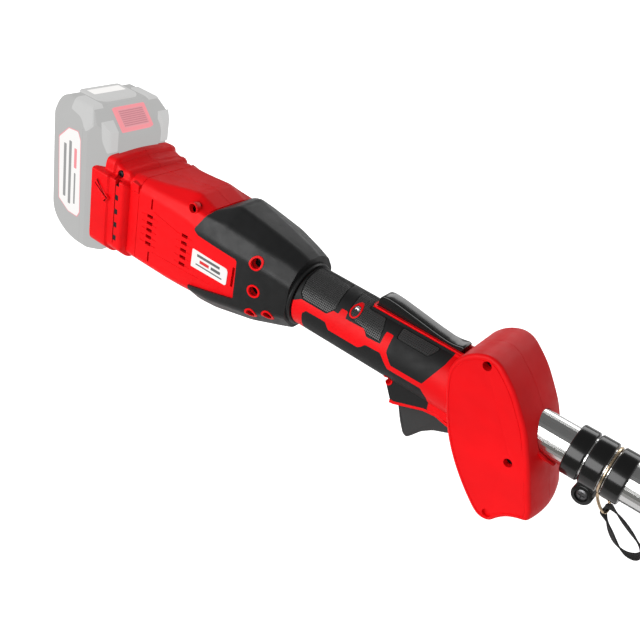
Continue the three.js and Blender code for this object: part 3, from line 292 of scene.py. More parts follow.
EVEN = (1, 1, 1)
MATERIALS = {
    "red_plastic": moulded("red_plastic", (0.78, 0.003, 0.006), 0.4, grain=0.012, specular=0.12),
    "black_plastic": moulded("black_plastic", (0.014, 0.0142, 0.0145), 0.42, grain=0.03, specular=0.3),
    "charcoal_plastic": moulded("charcoal_plastic", (0.03, 0.03, 0.03), 0.45, grain=0.03, specular=0.3),
    # The pale materials below glow: painted light that keeps them bright and even.
    "pale_plastic": self_lit("pale_plastic", (0.43, 0.43, 0.425)),
    "pale_print": self_lit("pale_print", (0.28, 0.28, 0.28)),
    # Lighter pale for the battery's top plate and shoulder plates: a painted highlight where light falls on
    # them.
    "pale_painted_highlight": self_lit("pale_painted_highlight", (0.545, 0.545, 0.54)),
    "pale_pink": self_lit("pale_pink", (0.74, 0.34, 0.37)),
    "pale_rib": self_lit("pale_rib", (0.56, 0.23, 0.26)),
    "screw_black": metallic("screw_black", (0.035, 0.035, 0.037), 0.5, stretch=EVEN),
    "pale_outline": self_lit("pale_outline", (0.82, 0.36, 0.39)),
    "knurl": moulded("knurl", (0.035, 0.035, 0.035), 0.36, grain=0.01, specular=0.5),
    "pale_red": self_lit("pale_red", (0.88, 0.31, 0.34)),
    "soft_grip": moulded("soft_grip", (0.011, 0.0112, 0.0114), 0.55, grain=0.04, specular=0.22),
    "foam": moulded("foam", (0.016, 0.016, 0.017), 0.95, grain=0.25, specular=0.15),
    "aluminium": metallic("aluminium", (0.86, 0.86, 0.85), 0.2),
    "steel": metallic("steel", (0.62, 0.62, 0.63), 0.28),
    "dark_steel": metallic("dark_steel", (0.16, 0.16, 0.165), 0.38, stretch=EVEN),
    "brass": metallic("brass", (0.80, 0.62, 0.42), 0.22, stretch=EVEN),
    "cell_wrap": moulded("cell_wrap", (0.05, 0.14, 0.36), 0.35),
    "circuit_board": moulded("circuit_board", (0.02, 0.12, 0.04), 0.5),
    "webbing": woven("webbing", (0.018, 0.018, 0.018), 0.9),
    "tank_plastic": moulded("tank_plastic", (0.03, 0.028, 0.026), 0.2, specular=0.5),
    "white_label": self_lit("white_label", (0.90, 0.885, 0.87)),
    "red_print": moulded("red_print", (0.62, 0.03, 0.03), 0.4, grain=0.004),
    "grey_print": moulded("grey_print", (0.12, 0.12, 0.12), 0.4, grain=0.004),
    "gloss_black": moulded("gloss_black", (0.008, 0.008, 0.008), 0.16, grain=0.006, specular=0.5),
}


# ---------------------------------------------------------------- mesh tools
def link_mesh(name, mesh):
    obj = bpy.data.objects.new(name, mesh)
    bpy.context.collection.objects.link(obj)
    return obj


def face_outwards(mesh, weld=False):
    """Turns all faces outwards, after welding points that coincide if asked."""
    made = bmesh.new()
    made.from_mesh(mesh)
    if weld:
        bmesh.ops.remove_doubles(made, verts=made.verts, dist=1e-6)
        bmesh.ops.dissolve_degenerate(made, dist=1e-7, edges=made.edges)
    bmesh.ops.recalc_face_normals(made, faces=made.faces)
    made.to_mesh(mesh)
    made.free()


def mesh_object(name, points, faces):
    """An object from millimetre points in the tool's axes."""
    mesh = bpy.data.meshes.new(name)
    mesh.from_pydata([at(*point) for point in points], [], faces)
    mesh.validate()
    face_outwards(mesh)
    return link_mesh(name, mesh)


def reshaped(obj, move):
    """Moves each point of a piece to where `move` takes it, in millimetres."""
    for vertex in obj.data.vertices:
        vertex.co = at(*move((vertex.co - ORIGIN) / MM))
    obj.data.update()
    return obj


def apply_modifiers(obj):
    shown = obj.evaluated_get(bpy.context.evaluated_depsgraph_get())
    mesh = bpy.data.meshes.new_from_object(shown)
    obj.modifiers.clear()
    obj.data = mesh


def smooth_by_angle(obj, angle):
    """Smooth shading, with edges steeper than the angle kept sharp."""
    for polygon in obj.data.polygons:
        polygon.use_smooth = True
    obj.data.set_sharp_from_angle(angle=math.radians(angle))


def cornered(points, radius=0.0):
    """Corners of an outline, all with the same radius."""
    return [(a, b, radius) for a, b in points]


def mirrored(corners):
    """Closes half an outline of (x, y, radius) corners by its mirror image across y = 0."""
    return corners + [(x, -y, radius) for x, y, radius in reversed(corners)]


def anticlockwise(outline):
    area = sum(outline[i - 1].cross(outline[i]) for i in range(len(outline)))
    if area < 0:
        outline.reverse()
    return outline


def rounded(corners, steps=4):
    """Outline of (a, b, radius) corners with each corner turned into an arc of steps + 1 points."""
    outline = []
    count = len(corners)
    for i, (a, b, radius) in enumerate(corners):
        corner = Vector((a, b))
        back = Vector(corners[i - 1][:2]) - corner
        ahead = Vector(corners[(i + 1) % count][:2]) - corner
        reach = min(radius, back.length / 2.05, ahead.length / 2.05)
        start, end = corner + back.normalized() * reach, corner + ahead.normalized() * reach
        for k in range(steps + 1):
            t = k / steps
            outline.append(start.lerp(corner, t).lerp(corner.lerp(end, t), t))
    return outline


def inset(outline, depth):
    """The outline moved inwards by `depth` along its normals; anticlockwise outlines only."""
    moved = []
    for i, point in enumerate(outline):
        along = outline[(i + 1) % len(outline)] - outline[i - 1]
        normal = Vector((along.y, -along.x)).normalized()
        moved.append(point - normal * depth)
    return moved


def stack(name, rings):
    """Closed skin over rings of 3-D points."""
    count = len(rings[0])
    faces = [tuple(range(count)), tuple(range((len(rings) - 1) * count, len(rings) * count))]
    for i in range(len(rings) - 1):
        for j in range(count):
            k = (j + 1) % count
            faces.append((i * count + j, i * count + k, (i + 1) * count + k, (i + 1) * count + j))
    return mesh_object(name, [point for ring in rings for point in ring], faces)


def edge_profile(depth, radius, steps=3):
    """(height, inset) pairs of a slab of the given depth with both rims rounded."""
    if radius == 0:
        return [(0, 0), (depth, 0)]
    turns = [math.pi / 2 * k / steps for k in range(steps + 1)]
    near = [(radius * (1 - math.cos(turn)), radius * (1 - math.sin(turn))) for turn in turns]
    return near + [(depth - height, shrink) for height, shrink in reversed(near)]


def on_axis(axis, along, a, b):
    """A point from its distance along an axis and its two other coordinates in the order x, y, z."""
    return {"X": (along, a, b), "Y": (a, along, b), "Z": (a, b, along)}[axis]


def slab(name, corners, start, depth, axis="Y", rim=0.0, steps=4):
    """Prism of an outline along an axis. Outlines are (x, z) for Y, (x, y) for Z and (y, z) for X."""
    outline = anticlockwise(rounded(corners, steps))
    rings = [[on_axis(axis, start + height, *point) for point in inset(outline, shrink)]
             for height, shrink in edge_profile(depth, rim)]
    return stack(name, rings)


def block(name, x0, x1, y0, y1, z0, z1, rim=0.0):
    corners = cornered([(x0, z0), (x1, z0), (x1, z1), (x0, z1)], rim)
    return slab(name, corners, y0, y1 - y0, rim=rim)


def turned(name, profile, axis="X", centre=(0, 0), sides=64):
    """Solid of revolution; profile is (along, radius) pairs, closed or ending on the axis."""
    points, faces = [], []
    count = len(profile)
    for k in range(sides):
        turn = 2 * math.pi * k / sides
        c, s = math.cos(turn), math.sin(turn)
        points += [on_axis(axis, along, centre[0] + r * c, centre[1] + r * s) for along, r in profile]
        n = (k + 1) % sides
        for j in range(count - 1):
            faces.append((k * count + j, k * count + j + 1, n * count + j + 1, n * count + j))
    obj = mesh_object(name, points, faces)
    face_outwards(obj.data, weld=True)
    return obj


def hoop(name, bore, outer, start, end, axis="X", centre=(0, 0), sides=64):
    """Plain ring of square section."""
    profile = [(start, bore), (start, outer), (end, outer), (end, bore), (start, bore)]
    return turned(name, profile, axis, centre, sides)


def rod(name, radius, start, end, axis="X", centre=(0, 0), sides=48, rim=0.0):
    """Round bar; its end edges are rounded if a rim is given."""
    profile = [(start, radius), (end, radius)]
    if rim:
        profile = [(start, radius - rim), (start + rim * 0.3, radius - rim * 0.3), (start + rim, radius),
                   (end - rim, radius), (end - rim * 0.3, radius - rim * 0.3), (end, radius - rim)]
    return turned(name, [(start, 0)] + profile + [(end, 0)], axis, centre, sides)


# ---------------------------------------------------------------- solids made of rings
def boolean(base, operation, *tools):
    """Joins, cuts or intersects the base with each tool in turn; the tools are used up."""
    for tool in tools:
        step = base.modifiers.new(operation, "BOOLEAN")
        step.operation = operation
        step.solver = "MANIFOLD"
        step.object = tool
    apply_modifiers(base)
    for tool in tools:
        bpy.data.objects.remove(tool)
    return base


def join(base, *tools):
    return boolean(base, "UNION", *tools)


def cut(base, *tools):
    return boolean(base, "DIFFERENCE", *tools)


def common(base, *tools):
    return boolean(base, "INTERSECT", *tools)


def duplicate(obj):
    return link_mesh(obj.name + "_copy", obj.data.copy())


def casing_ring(x, top, shoulder, side, bottom, grow=0.0, radius=2.2):
    """A box-like section with bevelled shoulders and rounded corners, grown outwards by `grow`."""
    right = [
        (-bottom[0] - grow / 2, bottom[1] - grow),
        (-side[0] - grow, side[1] - grow * 0.3),
        (-side[0] - grow, side[2] + grow * 0.3),
        (-shoulder[0] - grow * 0.7, shoulder[1] + grow * 0.7),
        (-top[0] - grow * 0.3, top[1] + grow),
    ]
    left = [(-y, z) for y, z in reversed(right)]
    return [(x, point.x, point.y) for point in rounded([(y, z, radius) for y, z in right + left], 3)]


def eased(rings, reach=4.0, steps=4):
    """Turns the kink that each ring's points make at an inner ring into a short curve along x."""
    result = [rings[0]]
    for before, here, after in zip(rings, rings[1:], rings[2:]):
        for k in range(steps + 1):
            t = k / steps
            ring = []
            for a, b, c in zip(before, here, after):
                a, b, c = Vector(a), Vector(b), Vector(c)
                start = b.lerp(a, min(0.45, reach / (b - a).length))
                end = b.lerp(c, min(0.45, reach / (b - c).length))
                ring.append(tuple(start.lerp(b, t).lerp(b.lerp(end, t), t)))
            result.append(ring)
    return result + [rings[-1]]


def halves(name, whole):
    """Splits a shell at the y = 0 seam into its right-hand and left-hand mouldings."""
    other = duplicate(whole)
    reach = 400
    right = common(whole, block("cutter", -reach, 3 * reach, -reach, -GAP / 2, -reach, reach))
    left = common(other, block("cutter", -reach, 3 * reach, GAP / 2, reach, -reach, reach))
    right.name, left.name = name + "_right", name + "_left"
    return right, left


def weight_normals(obj):
    """Keeps flat faces flat beside rounded ones."""
    shade = obj.modifiers.new("normals", "WEIGHTED_NORMAL")
    shade.keep_sharp = True
    shade.weight = 60


def settle(obj, angle=32):
    """Smooth shading that keeps flat faces flat and edges steeper than the angle sharp."""
    smooth_by_angle(obj, angle)
    weight_normals(obj)
    apply_modifiers(obj)
    return obj


def dress(obj, body, material, *replaced, angle=None):
    """Gives a finished piece its material, the body it rides on and the CAD nodes it stands for."""
    if angle:
        smooth_by_angle(obj, angle)
    obj.data.materials.clear()
    obj.data.materials.append(MATERIALS[material])
    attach(obj, body)
    if replaced:
        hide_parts(*replaced)
    return obj


def dress_halves(pieces, part):
    """Dresses the two mouldings of the tool's shell, each in place of its CAD node."""
    for piece, side in zip(pieces, ("right", "left")):
        dress(settle(piece), "tool_body", "red_plastic", f"{part}_{side}")


# ---------------------------------------------------------------- motor housing
BODY_SECTIONS = [
    dict(x=-246, top=[23, 31.6], shoulder=[26.9, 29.6], side=[30, -31, 24.5], bottom=[24, -37]),
    dict(x=-232, top=[22.5, 32.6], shoulder=[27, 30], side=[30, -31, 24.5], bottom=[24, -37]),
    dict(x=-214, top=[20, 34.4], shoulder=[26.8, 30.2], side=[30, -31, 24.5], bottom=[24, -37]),
    dict(x=-199, top=[17.4, 36.8], shoulder=[26.6, 30.6], side=[30, -31, 24], bottom=[24, -37]),
    dict(x=-184, top=[15.6, 39], shoulder=[26, 31.2], side=[30, -30.5, 23], bottom=[23, -37]),
    dict(x=-168, top=[15, 33.2], shoulder=[25.6, 31], side=[30, -28.5, 20.5], bottom=[22, -36.4]),
]
NOSE_SECTIONS = [
    dict(x=-186, top=[14, 31], shoulder=[24.5, 29], side=[31.6, -27, 20], bottom=[23, -36]),
    dict(x=-166, top=[20, 34], shoulder=[27.3, 33], side=[32, -28, 20], bottom=[23, -38]),
    dict(x=-150, top=[11.3, 42.8], shoulder=[26, 32.6], side=[31.8, -27, 20], bottom=[21, -38]),
    dict(x=-118, top=[9, 36.4], shoulder=[23.2, 29.4], side=[30, -21, 18.6], bottom=[17, -33]),
    dict(x=-96, top=[7, 31], shoulder=[18, 26], side=[25.2, -13.5, 14.5], bottom=[12.5, -27.4]),
    dict(x=-88, top=[6.5, 28], shoulder=[16.5, 23.6], side=[23.6, -12, 13], bottom=[11, -25]),
]
NOSE_SKIN = 2.0
WALL = 2.4
# Half of the flange's outline: (y, z, corner radius).
FLANGE_HALF = [
    (0, -41, 4), (27, -41, 3), (37.2, -32, 3), (37.2, 26.4, 1.5), (31.8, 27.6, 1.6), (30.6, 37.6, 5.4),
    (0, 39.4, 8),
]
# How far the flange steps in from its rim towards the body: (x, inset at the sides, inset of the crown).
FLANGE_STEPS = [
    (-275, 1.0, 1.0), (-273.6, 0.0, 0.6), (-265, 0.0, 0.5), (-259, 0.0, 0.0), (-257, 0.3, 0.3),
    (-255.6, 1.6, 1.2), (-254.6, 1.6, 3.0), (-250.5, 1.6, 4.9), (-247.5, 1.6, 5.2), (-245.4, 1.6, 4.4),
    (-243.2, 1.7, 4.6), (-241.8, 2.0, 5.6), (-240.6, 3.0, 7.2), (-239.6, 4.8, 7.7), (-238.8, 7.8, 7.9),
    (-235.5, 8.5, 8.5),
]
# Points of the flange above this height belong to its crown.
CROWN_Z = 33
WINDOW = [(-200, 19), (-164, 17.6), (-130, 15.2), (-128.6, -15.6), (-150, -20.5), (-172, -25.6), (-200, -27)]
REAR_TRIM = [(-220, 70), (-163, 70), (-162.4, 37.4), (-171.4, 20.4), (-165, 17), (-165, 5), (-220, 5)]
LOWER_TRIM = [(-220, -20), (-171.6, -20), (-170.6, -28), (-168.6, -31), (-163, -38), (-163, -60), (-220, -60)]
SIDE_CREASES = [(-213, 14.4, -187, 9.6), (-211, -18.3, -174, -17.2), (-174, -17.2, -139, -14.5)]
VENT_COLUMNS = {-216.5: [9, 3.4, -2.2, -7.8, -13.4], -180.5: [9.8, 4, -1.8, -7.5, -13.2]}
LONG_SLOTS = [(-215.6, 19.3, 1.6, 8.4), (-215.2, -24, 1.6, 8.4), (-132.9, -0.4, 2.0, 15.5)]
EDGE_VENTS = [24, 12.5, 1, -10, -21]
EDGE_VENT_X = -247.6
# The fine lines in the body's sides are cut down to this distance from the middle.
LINE_Y = 29.7
# Raised bar across the flange's side, lug behind the shoulder and boss round the body screw.
RIDGE = [(-270, 16.5), (-267, 20.9), (-253.6, 9.0), (-258, 4.5)]
LUG = [(-237, 21.5, 0.5), (-229.8, 21.5, 0.5), (-229.8, 28.2, 0.8), (-237, 29.2, 0.8)]
BOSS = [(-26.8, 0), (-26.8, 4.0), (-26.3, 4.4), (-23, 4.2), (-16, 1), (-16, 0)]
PLATE = [(-171.2, 4.6, 0.8), (-138.6, 3.6, 1.2), (-137.4, 1.5, 0.8), (-137.4, -8.8, 0.8), (-171.2, -9.6, 0.8)]
# Bars on the rating plate: x from and to, z from and to, material.
PLATE_BARS = [
    (-166, -144, 0.6, 2.6, "grey_print"), (-166.5, -141, -6.2, -5.2, "grey_print"),
    (-152, -143, -3.4, -1.2, "grey_print"), (-163, -154, -3.6, -1.2, "red_print"),
]
SCREW_R = 3.1
FLANGE_SCREW = (-250.5, 28.4)
BODY_SCREW = (-179, 31.8)
NOSE_SCREWS = [(-115, 19.4), (-113, -1.4)]
NOSE_HOLE_R = 3.6
# Profile of the bead that ends the nose: (x, radius).
END_RING = [(-89.5, 20), (-89.5, 22.6), (-88.6, 23.4), (-86.6, 23.4), (-85.6, 22.6), (-85.6, 20), (-89.5, 20)]
LOWER_NOSE_HOLES = [(-113, -19.8), (-100.4, -16)]
LOWER_HOLE_R = 2.9
HOLE_RIM = 1.3


def lofted(name, sections, grow=0.0, radius=2.2):
    """Solid through box-like sections, its whole surface grown outwards by `grow`."""
    rings = [casing_ring(**section, grow=grow, radius=radius) for section in sections]
    return stack(name, eased(rings))


def flange_ring(x, depth, crown):
    half = []
    for y, z, radius in FLANGE_HALF:
        shift = crown if z > CROWN_Z else 0.6 * depth
        half.append((y - depth if y else 0, z + depth if z < 0 else z - shift, radius))
    right = [(-y, z, radius) for y, z, radius in half]
    left = [(y, z, radius) for y, z, radius in reversed(half[1:-1])]
    return [(x, point.x, point.y) for point in rounded(right + left, 4)]


def side_cuts(name, x0, x1, z0, z1, inner=20, outer=60):
    """A cutter for the right-hand side and its mirror image for the left."""
    return [block(name, x0, x1, y0, y1, z0, z1) for y0, y1 in ((-outer, -inner), (inner, outer))]


def vent_cutters():
    cutters = []
    for x, heights in VENT_COLUMNS.items():
        for z in heights:
            cutters += side_cuts("vent", x - 2.9, x + 2.9, z - 1.3, z + 1.3)
            for x0, x1 in ((x - 8, x - 3.6), (x + 3.6, x + 8)):
                cutters += side_cuts("line", x0, x1, z - 0.3, z + 0.3, LINE_Y, 40)
    for x, z, length, height in LONG_SLOTS:
        cutters += side_cuts("slot", x - length / 2, x + length / 2, z - height / 2, z + height / 2)
    for x0, z0, x1, z1 in SIDE_CREASES:
        line = cornered([(x0, z0 - 0.2), (x1, z1 - 0.2), (x1, z1 + 0.2), (x0, z0 + 0.2)])
        cutters += [slab("crease", line, y0, 40 - LINE_Y) for y0 in (-40, LINE_Y)]
    for z in EDGE_VENTS:
        cutters += side_cuts("vent", EDGE_VENT_X - 1.6, EDGE_VENT_X + 2.2, z - 2.4, z + 2.0)
    return cutters + side_cuts("groove", EDGE_VENT_X - 1.8, EDGE_VENT_X - 0.8, -27, 25, 35, 40)


def seam_ring(x, width, depth):
    """Cutter for a fine groove that runs once round the body."""
    ring = block("seam", x, x + width, -60, 60, -60, 60)
    return cut(ring, lofted("core", BODY_SECTIONS, grow=-depth))


def battery_plan(grow):
    return mirrored(cornered([(-319 - grow, -38 - grow), (-281, -38 - grow), (-266 + grow, -28)]))


def tongue_plan(grow):
    return mirrored(cornered([(-267, -17 - grow), (-264.4 + grow, -21 - grow)]))


def screw_holes(radius, end, places, sides=48):
    """Round cutters from the right-hand side in to y = `end`, one at each (x, z) place."""
    return [rod("hole", radius, -60, end, "Y", place, sides) for place in places]


def moved_end(sections, index, x):
    """The sections, with the one at the index moved along to x."""
    sections = list(sections)
    sections[index] = dict(sections[index], x=x)
    return sections


def make_housing():
    core = lofted("core", moved_end(NOSE_SECTIONS, -1, -90.4), grow=-NOSE_SKIN)
    flange = stack("flange", [flange_ring(*step) for step in FLANGE_STEPS])
    lug = slab("lug", LUG, -30.9, 61.8, rim=0.6)
    boss = turned("boss", BOSS, "Y", BODY_SCREW, 48)
    whole = join(lofted("body", BODY_SECTIONS), core, flange, lug, boss)
    rooms = [
        slab("crown_relief", [(-290, 27.4, 0), (-265.5, 27.4, 1.5), (-265, 60, 0), (-290, 60, 0)], -40, 80),
        lofted("room", [dict(BODY_SECTIONS[0], x=-254)] + BODY_SECTIONS, grow=-WALL),
        lofted("room", NOSE_SECTIONS[:5], grow=-NOSE_SKIN - WALL),
        slab("well", battery_plan(0.4), -44.5, 164.5, "Z"),
        slab("well", tongue_plan(GAP), -34.3, 154.3, "Z"),
        rod("bore", 11.6, -170, -80),
    ]
    holes = screw_holes(SCREW_R, -24, [FLANGE_SCREW]) + screw_holes(SCREW_R + 0.3, -19.5, [BODY_SCREW])
    holes += screw_holes(NOSE_HOLE_R, -22, NOSE_SCREWS) + screw_holes(LOWER_HOLE_R, -17, LOWER_NOSE_HOLES)
    ridges = [slab("ridge", cornered(RIDGE, 0.4), y0, 3.2, rim=1.3) for y0 in (-38.3, 35.1)]
    shell = join(cut(whole, *rooms), *ridges)
    shell = cut(shell, *vent_cutters(), *holes, seam_ring(-229.8, 0.5, 0.5))
    dress_halves(halves("housing_shell", shell), "housing")


def make_vent_shade_strips():
    """Dark strips behind the flange's edge vents: painted shade that makes the vent notches look deep."""
    for y0, word in ((-35.2, "right"), (31, "left")):
        x0 = EDGE_VENT_X - 1.5
        shade_strip = block(f"vent_screen_{word}", x0, x0 + 3.6, y0, y0 + 4.2, -24, 22)
        dress(settle(shade_strip), "tool_body", "black_plastic")


def make_nose():
    cover = lofted("nose_shell", NOSE_SECTIONS, radius=2.6)
    ring = turned("ring", END_RING, sides=96)
    neck = hoop("neck", 19, 22.2, -92, -89, sides=96)
    inner = moved_end(moved_end(NOSE_SECTIONS, 0, -190), -1, -90)
    trims = [
        lofted("inner", inner, grow=-NOSE_SKIN + GAP),
        slab("window", cornered(WINDOW, 2.0), -60, 120),
        slab("trim", cornered(REAR_TRIM, 2.2), -60, 120),
        slab("trim", cornered(LOWER_TRIM, 1.5), -60, 120),
        lofted("body", BODY_SECTIONS, grow=GAP),
        rod("bore", 20.4, -120, -70),
    ]
    holes = screw_holes(NOSE_HOLE_R + HOLE_RIM + 0.15, -20, NOSE_SCREWS)
    holes += screw_holes(LOWER_HOLE_R + HOLE_RIM + 0.15, -14, LOWER_NOSE_HOLES)
    cover = cut(join(cut(cover, *trims), neck, ring), *holes)
    dress(settle(cover), "tool_body", "black_plastic", "nose_cover")

    rims = [(place, NOSE_HOLE_R) for place in NOSE_SCREWS]
    rims += [(place, LOWER_HOLE_R) for place in LOWER_NOSE_HOLES]
    for number, (place, bore) in enumerate(rims, 1):
        rim = hoop(f"nose_hole_rim_{number}", bore, bore + HOLE_RIM, -40, -14, "Y", place)
        tube = common(duplicate(rim), lofted("limit", NOSE_SECTIONS, grow=-HOLE_RIM))
        tube.name = f"nose_hole_tube_{number}"
        dress(settle(tube), "tool_body", "black_plastic")
        rim = common(rim, lofted("limit", NOSE_SECTIONS, grow=0.35))
        rim = cut(rim, lofted("core", NOSE_SECTIONS, grow=-HOLE_RIM))
        dress(settle(rim), "tool_body", "red_plastic")


def make_label_plate():
    """Blank rating plate: pale plate with dark bars where the real one has print."""
    dress(settle(slab("rating_plate", PLATE, -30.5, 1.2, rim=0.12)), "tool_body", "white_label")
    for number, (x0, x1, z0, z1, ink) in enumerate(PLATE_BARS, 1):
        dress(block(f"plate_bar_{number}", x0, x1, -30.62, -30.4, z0, z1), "tool_body", ink)


make_housing()
make_vent_shade_strips()
make_nose()
make_label_plate()


# ---------------------------------------------------------------- rear handle and hand guard
GRIP_REAR = -85
GRIP_R = 21.5
GRIP_CORE_R = 19.8
GUARD_HALF = 24
GUARD_MID = (72, -12)
# How far the front of the guard bulges forward between its rims.
GUARD_CROWN = 3.2
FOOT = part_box("handle_right")[0][2] / MM + FLOOR_Z
GUARD = [
    (36, 20.9), (37.6, 9), (42.6, -7), (49.8, -25.9), (59.2, -42), (69.5, -55.3), (78.9, -65.3), (84, FOOT),
    (91, -68), (95.7, -60.7), (100.4, -55.7), (106.5, -52.2), (113.5, -49.6), (113.2, -42.4), (108, -28.1),
    (103, -13.3), (93.4, 8.4), (86.8, 18.2), (79.3, 28.5), (72, 35.6), (65, 41.2), (58, 42.8), (51, 40.6),
    (44.8, 36.6), (39, 30),
]
GUARD_TAPER_Z = -15
GUARD_FOOT_HALF = 20
RED_PANEL = [
    (-86, 4), (-84, 4.2), (-79, 7.4), (-57.5, 7.3), (-53.8, 11), (-49.6, 11), (-49, 14.5), (-44.2, 14.5),
    (-43.4, 10.6), (-28.3, 11), (-24.6, 7.6), (-13.8, 8.2), (-14, 15.6), (-8.5, 15.6), (-7.8, 5.8),
    (-2, -1.2), (21.8, -0.8), (30, 15.7), (32, 26), (50, 26), (50, -22), (27.6, -22), (26.5, -10.6),
    (21.6, -4.8), (-3.8, -5.2), (-11.4, 3.1), (-23.2, 2.6), (-26.3, -0.8), (-28.4, -2.2), (-52.6, -2.4),
    (-56.2, 2), (-72.5, 1.8), (-75.4, -1.4), (-75.4, -22), (-86, -22),
]
TRIGGER_LIP = [
    (0.4, -30.4), (0.6, -33.4), (4, -32.8), (14, -28.8), (25, -24.6), (34, -23.4), (52, -27.2), (52, -24.6),
    (34, -21.2), (25, -22.4), (14, -26.6), (4, -30.4),
]
TRIGGER_HOUSING = [
    (-12, -10), (0.5, -31.6), (4, -31), (14, -27.4), (25, -23.2), (34, -22), (52, -25.6), (52, -10),
]
TRIGGER_HALF = 12.4
TRIGGER_SKIN = 1.7
PLINTH = dict(x0=-32, x1=38, half=7, top=22.4, rim=1.2, lip=0.6)
LEVER_HALF = 5.2
LEVER_PIVOT = (30, 21)
TRIGGER_PIVOT = (38.5, -22.5)
GRIP_SCREW = (-39.8, 16.6)
TRIGGER_SCREW = (-4.5, -17.5)
GUARD_SCREWS = [(58, 36), (89.7, -17.6), (88.6, -62)]

# Textured patches of the grip: x in millimetres, angle in degrees up from the right-hand side.
PATCHES = {
    "rear": [(-83.6, 104), (-82.4, 56), (-80.7, 31), (-77.4, 22.5), (-57.2, 23), (-53, 35), (-53.8, 54),
             (-56.6, 104)],
    "middle": [(-46.6, 104), (-44, 60), (-43.4, 44), (-40, 36), (-31.5, 33), (-24.8, 25.6), (-15.4, 25.2),
               (-17, 47), (-20.4, 67.5), (-34, 67.5), (-35, 104)],
    "front": [(-5.6, 46), (-6.4, 67.5), (20.8, 67.5), (21, 62), (19.2, 52), (17.4, 45)],
}
KNURL_PITCH = 1.35
PATCH_CORNER = 1.2
PEG_R = 3.8
GRIP_SCREW_R = 2.9
GUARD_SCREW_R = 3.0
SPOUT_LIMIT = [(80, -2), (97, -3), (106, -8), (112, -12.4), (112, -20), (80, -20)]


def guard_outline():
    return anticlockwise(rounded(cornered(GUARD, 9), 5))


def guard_half(z):
    """Half the guard's width at a height; it narrows towards the foot."""
    below = max(0.0, GUARD_TAPER_Z - z) / (GUARD_TAPER_Z - FOOT)
    return GUARD_HALF - (GUARD_HALF - GUARD_FOOT_HALF) * below


def guard_body():
    """The guard's smooth disc: rims rounded, sides drawn in towards the foot, front crowned."""
    outline = guard_outline()
    rings = []
    profile = edge_profile(2 * GUARD_HALF, 2.2, 5)
    middle = len(profile) // 2
    span = profile[middle][0] - profile[middle - 1][0]
    profile[middle:middle] = [(profile[middle - 1][0] + span * k / 12, 0) for k in range(1, 12)]
    for height, shrink in profile:
        y = height - GUARD_HALF
        ring = []
        for point, moved in zip(outline, inset(outline, shrink)):
            ahead = min(1.0, max(0.0, (point.x - GUARD_MID[0]) / 30))
            crown = GUARD_CROWN * ahead * (1 - (y / GUARD_HALF) ** 2)
            ring.append((moved.x + crown, y * guard_half(point.y) / GUARD_HALF, moved.y))
        rings.append(ring)
    return stack("guard", rings)


def grip_body(r):
    x = GRIP_REAR
    profile = [(x, 0), (x, r - 0.8), (x + 0.3, r - 0.25), (x + 0.8, r), (56, r), (56, 0)]
    return turned("grip", profile, sides=120)


def trigger_housing(grow):
    half = TRIGGER_HALF + grow
    return slab("trigger_housing", cornered(TRIGGER_HOUSING, 1.5), -half, 2 * half, rim=1.6)


def plinth(grow, top):
    half = PLINTH["half"] + grow
    return block("plinth", PLINTH["x0"] - grow, PLINTH["x1"], -half, half, 5, top)


def plinth_rim(grow, start, depth):
    x0, x1 = PLINTH["x0"], PLINTH["x1"]
    end, half = x0 - PLINTH["lip"] - grow, PLINTH["half"] + PLINTH["lip"] + grow
    corners = mirrored(cornered([(end, 2 - half), (x0 + 1.5, -half), (x1, -half)], 0.8))
    return slab("rim", corners, start, depth, "Z", rim=0.3 if grow == 0 else 0)


def flare(grow):
    """Trumpet that opens the grip out into the guard."""
    profile = [(22, 0), (22, GRIP_CORE_R - 0.1)]
    for k in range(13):
        t = k / 12
        profile.append((24 + 30 * t, GRIP_CORE_R + 2.6 * t * t + 1.2 * math.sin(math.pi / 2 * t)))
    return turned("flare", [(x, r + grow if r else 0) for x, r in profile] + [(54, 0)], sides=120)


def wrapped(obj, radius):
    """Bends a flat piece round the grip: its y is arc length up from the right-hand side, its z is height."""
    def bend(place):
        turn = place.y / radius
        reach = radius + place.z
        return place.x, -math.cos(turn) * reach, math.sin(turn) * reach
    return reshaped(obj, bend)


def patch_outline(points):
    """A patch laid flat: its angles become lengths round the grip."""
    return [(x, math.radians(angle) * GRIP_R, PATCH_CORNER) for x, angle in points]


def sliced(obj, spacing):
    """Adds edges along x at even steps of y, so that the piece bends smoothly."""
    made = bmesh.new()
    made.from_mesh(obj.data)
    lowest = min(vertex.co.y for vertex in made.verts)
    highest = max(vertex.co.y for vertex in made.verts)
    steps = int((highest - lowest) / MM / spacing)
    for k in range(1, steps + 1):
        bmesh.ops.bisect_plane(made, geom=made.verts[:] + made.edges[:] + made.faces[:], dist=1e-7,
                               plane_co=(0, lowest + k * spacing * MM, 0), plane_no=(0, 1, 0))
    made.to_mesh(obj.data)
    made.free()
    return obj


def knurled_sheet(x0, x1, y0, y1, bottom, top, depth):
    """Flat block whose top is a field of small pyramids."""
    half = KNURL_PITCH / 2
    columns, rows = int((x1 - x0) / half) + 1, int((y1 - y0) / half) + 1
    points, faces = [], []
    for i in range(columns + 1):
        for j in range(rows + 1):
            peak = top + (depth if i % 2 and j % 2 else 0)
            points.append((x0 + i * half, y0 + j * half, peak))
    count = len(points)
    points += [(x, y, bottom) for x, y, _ in points]
    stride = rows + 1
    for i in range(columns):
        for j in range(rows):
            a, b, c, d = i * stride + j, (i + 1) * stride + j, (i + 1) * stride + j + 1, i * stride + j + 1
            faces += [(a, b, c), (a, c, d)] if (i + j) % 2 else [(a, b, d), (b, c, d)]
            faces.append(tuple(count + k for k in (a, d, c, b)))
    border = [i * stride for i in range(columns)] + [columns * stride + j for j in range(rows)]
    border += [i * stride + rows for i in range(columns, 0, -1)] + [j for j in range(rows, 0, -1)]
    for a, b in zip(border, border[1:] + border[:1]):
        faces.append((a, count + a, count + b, b))
    return mesh_object("knurl", points, faces)


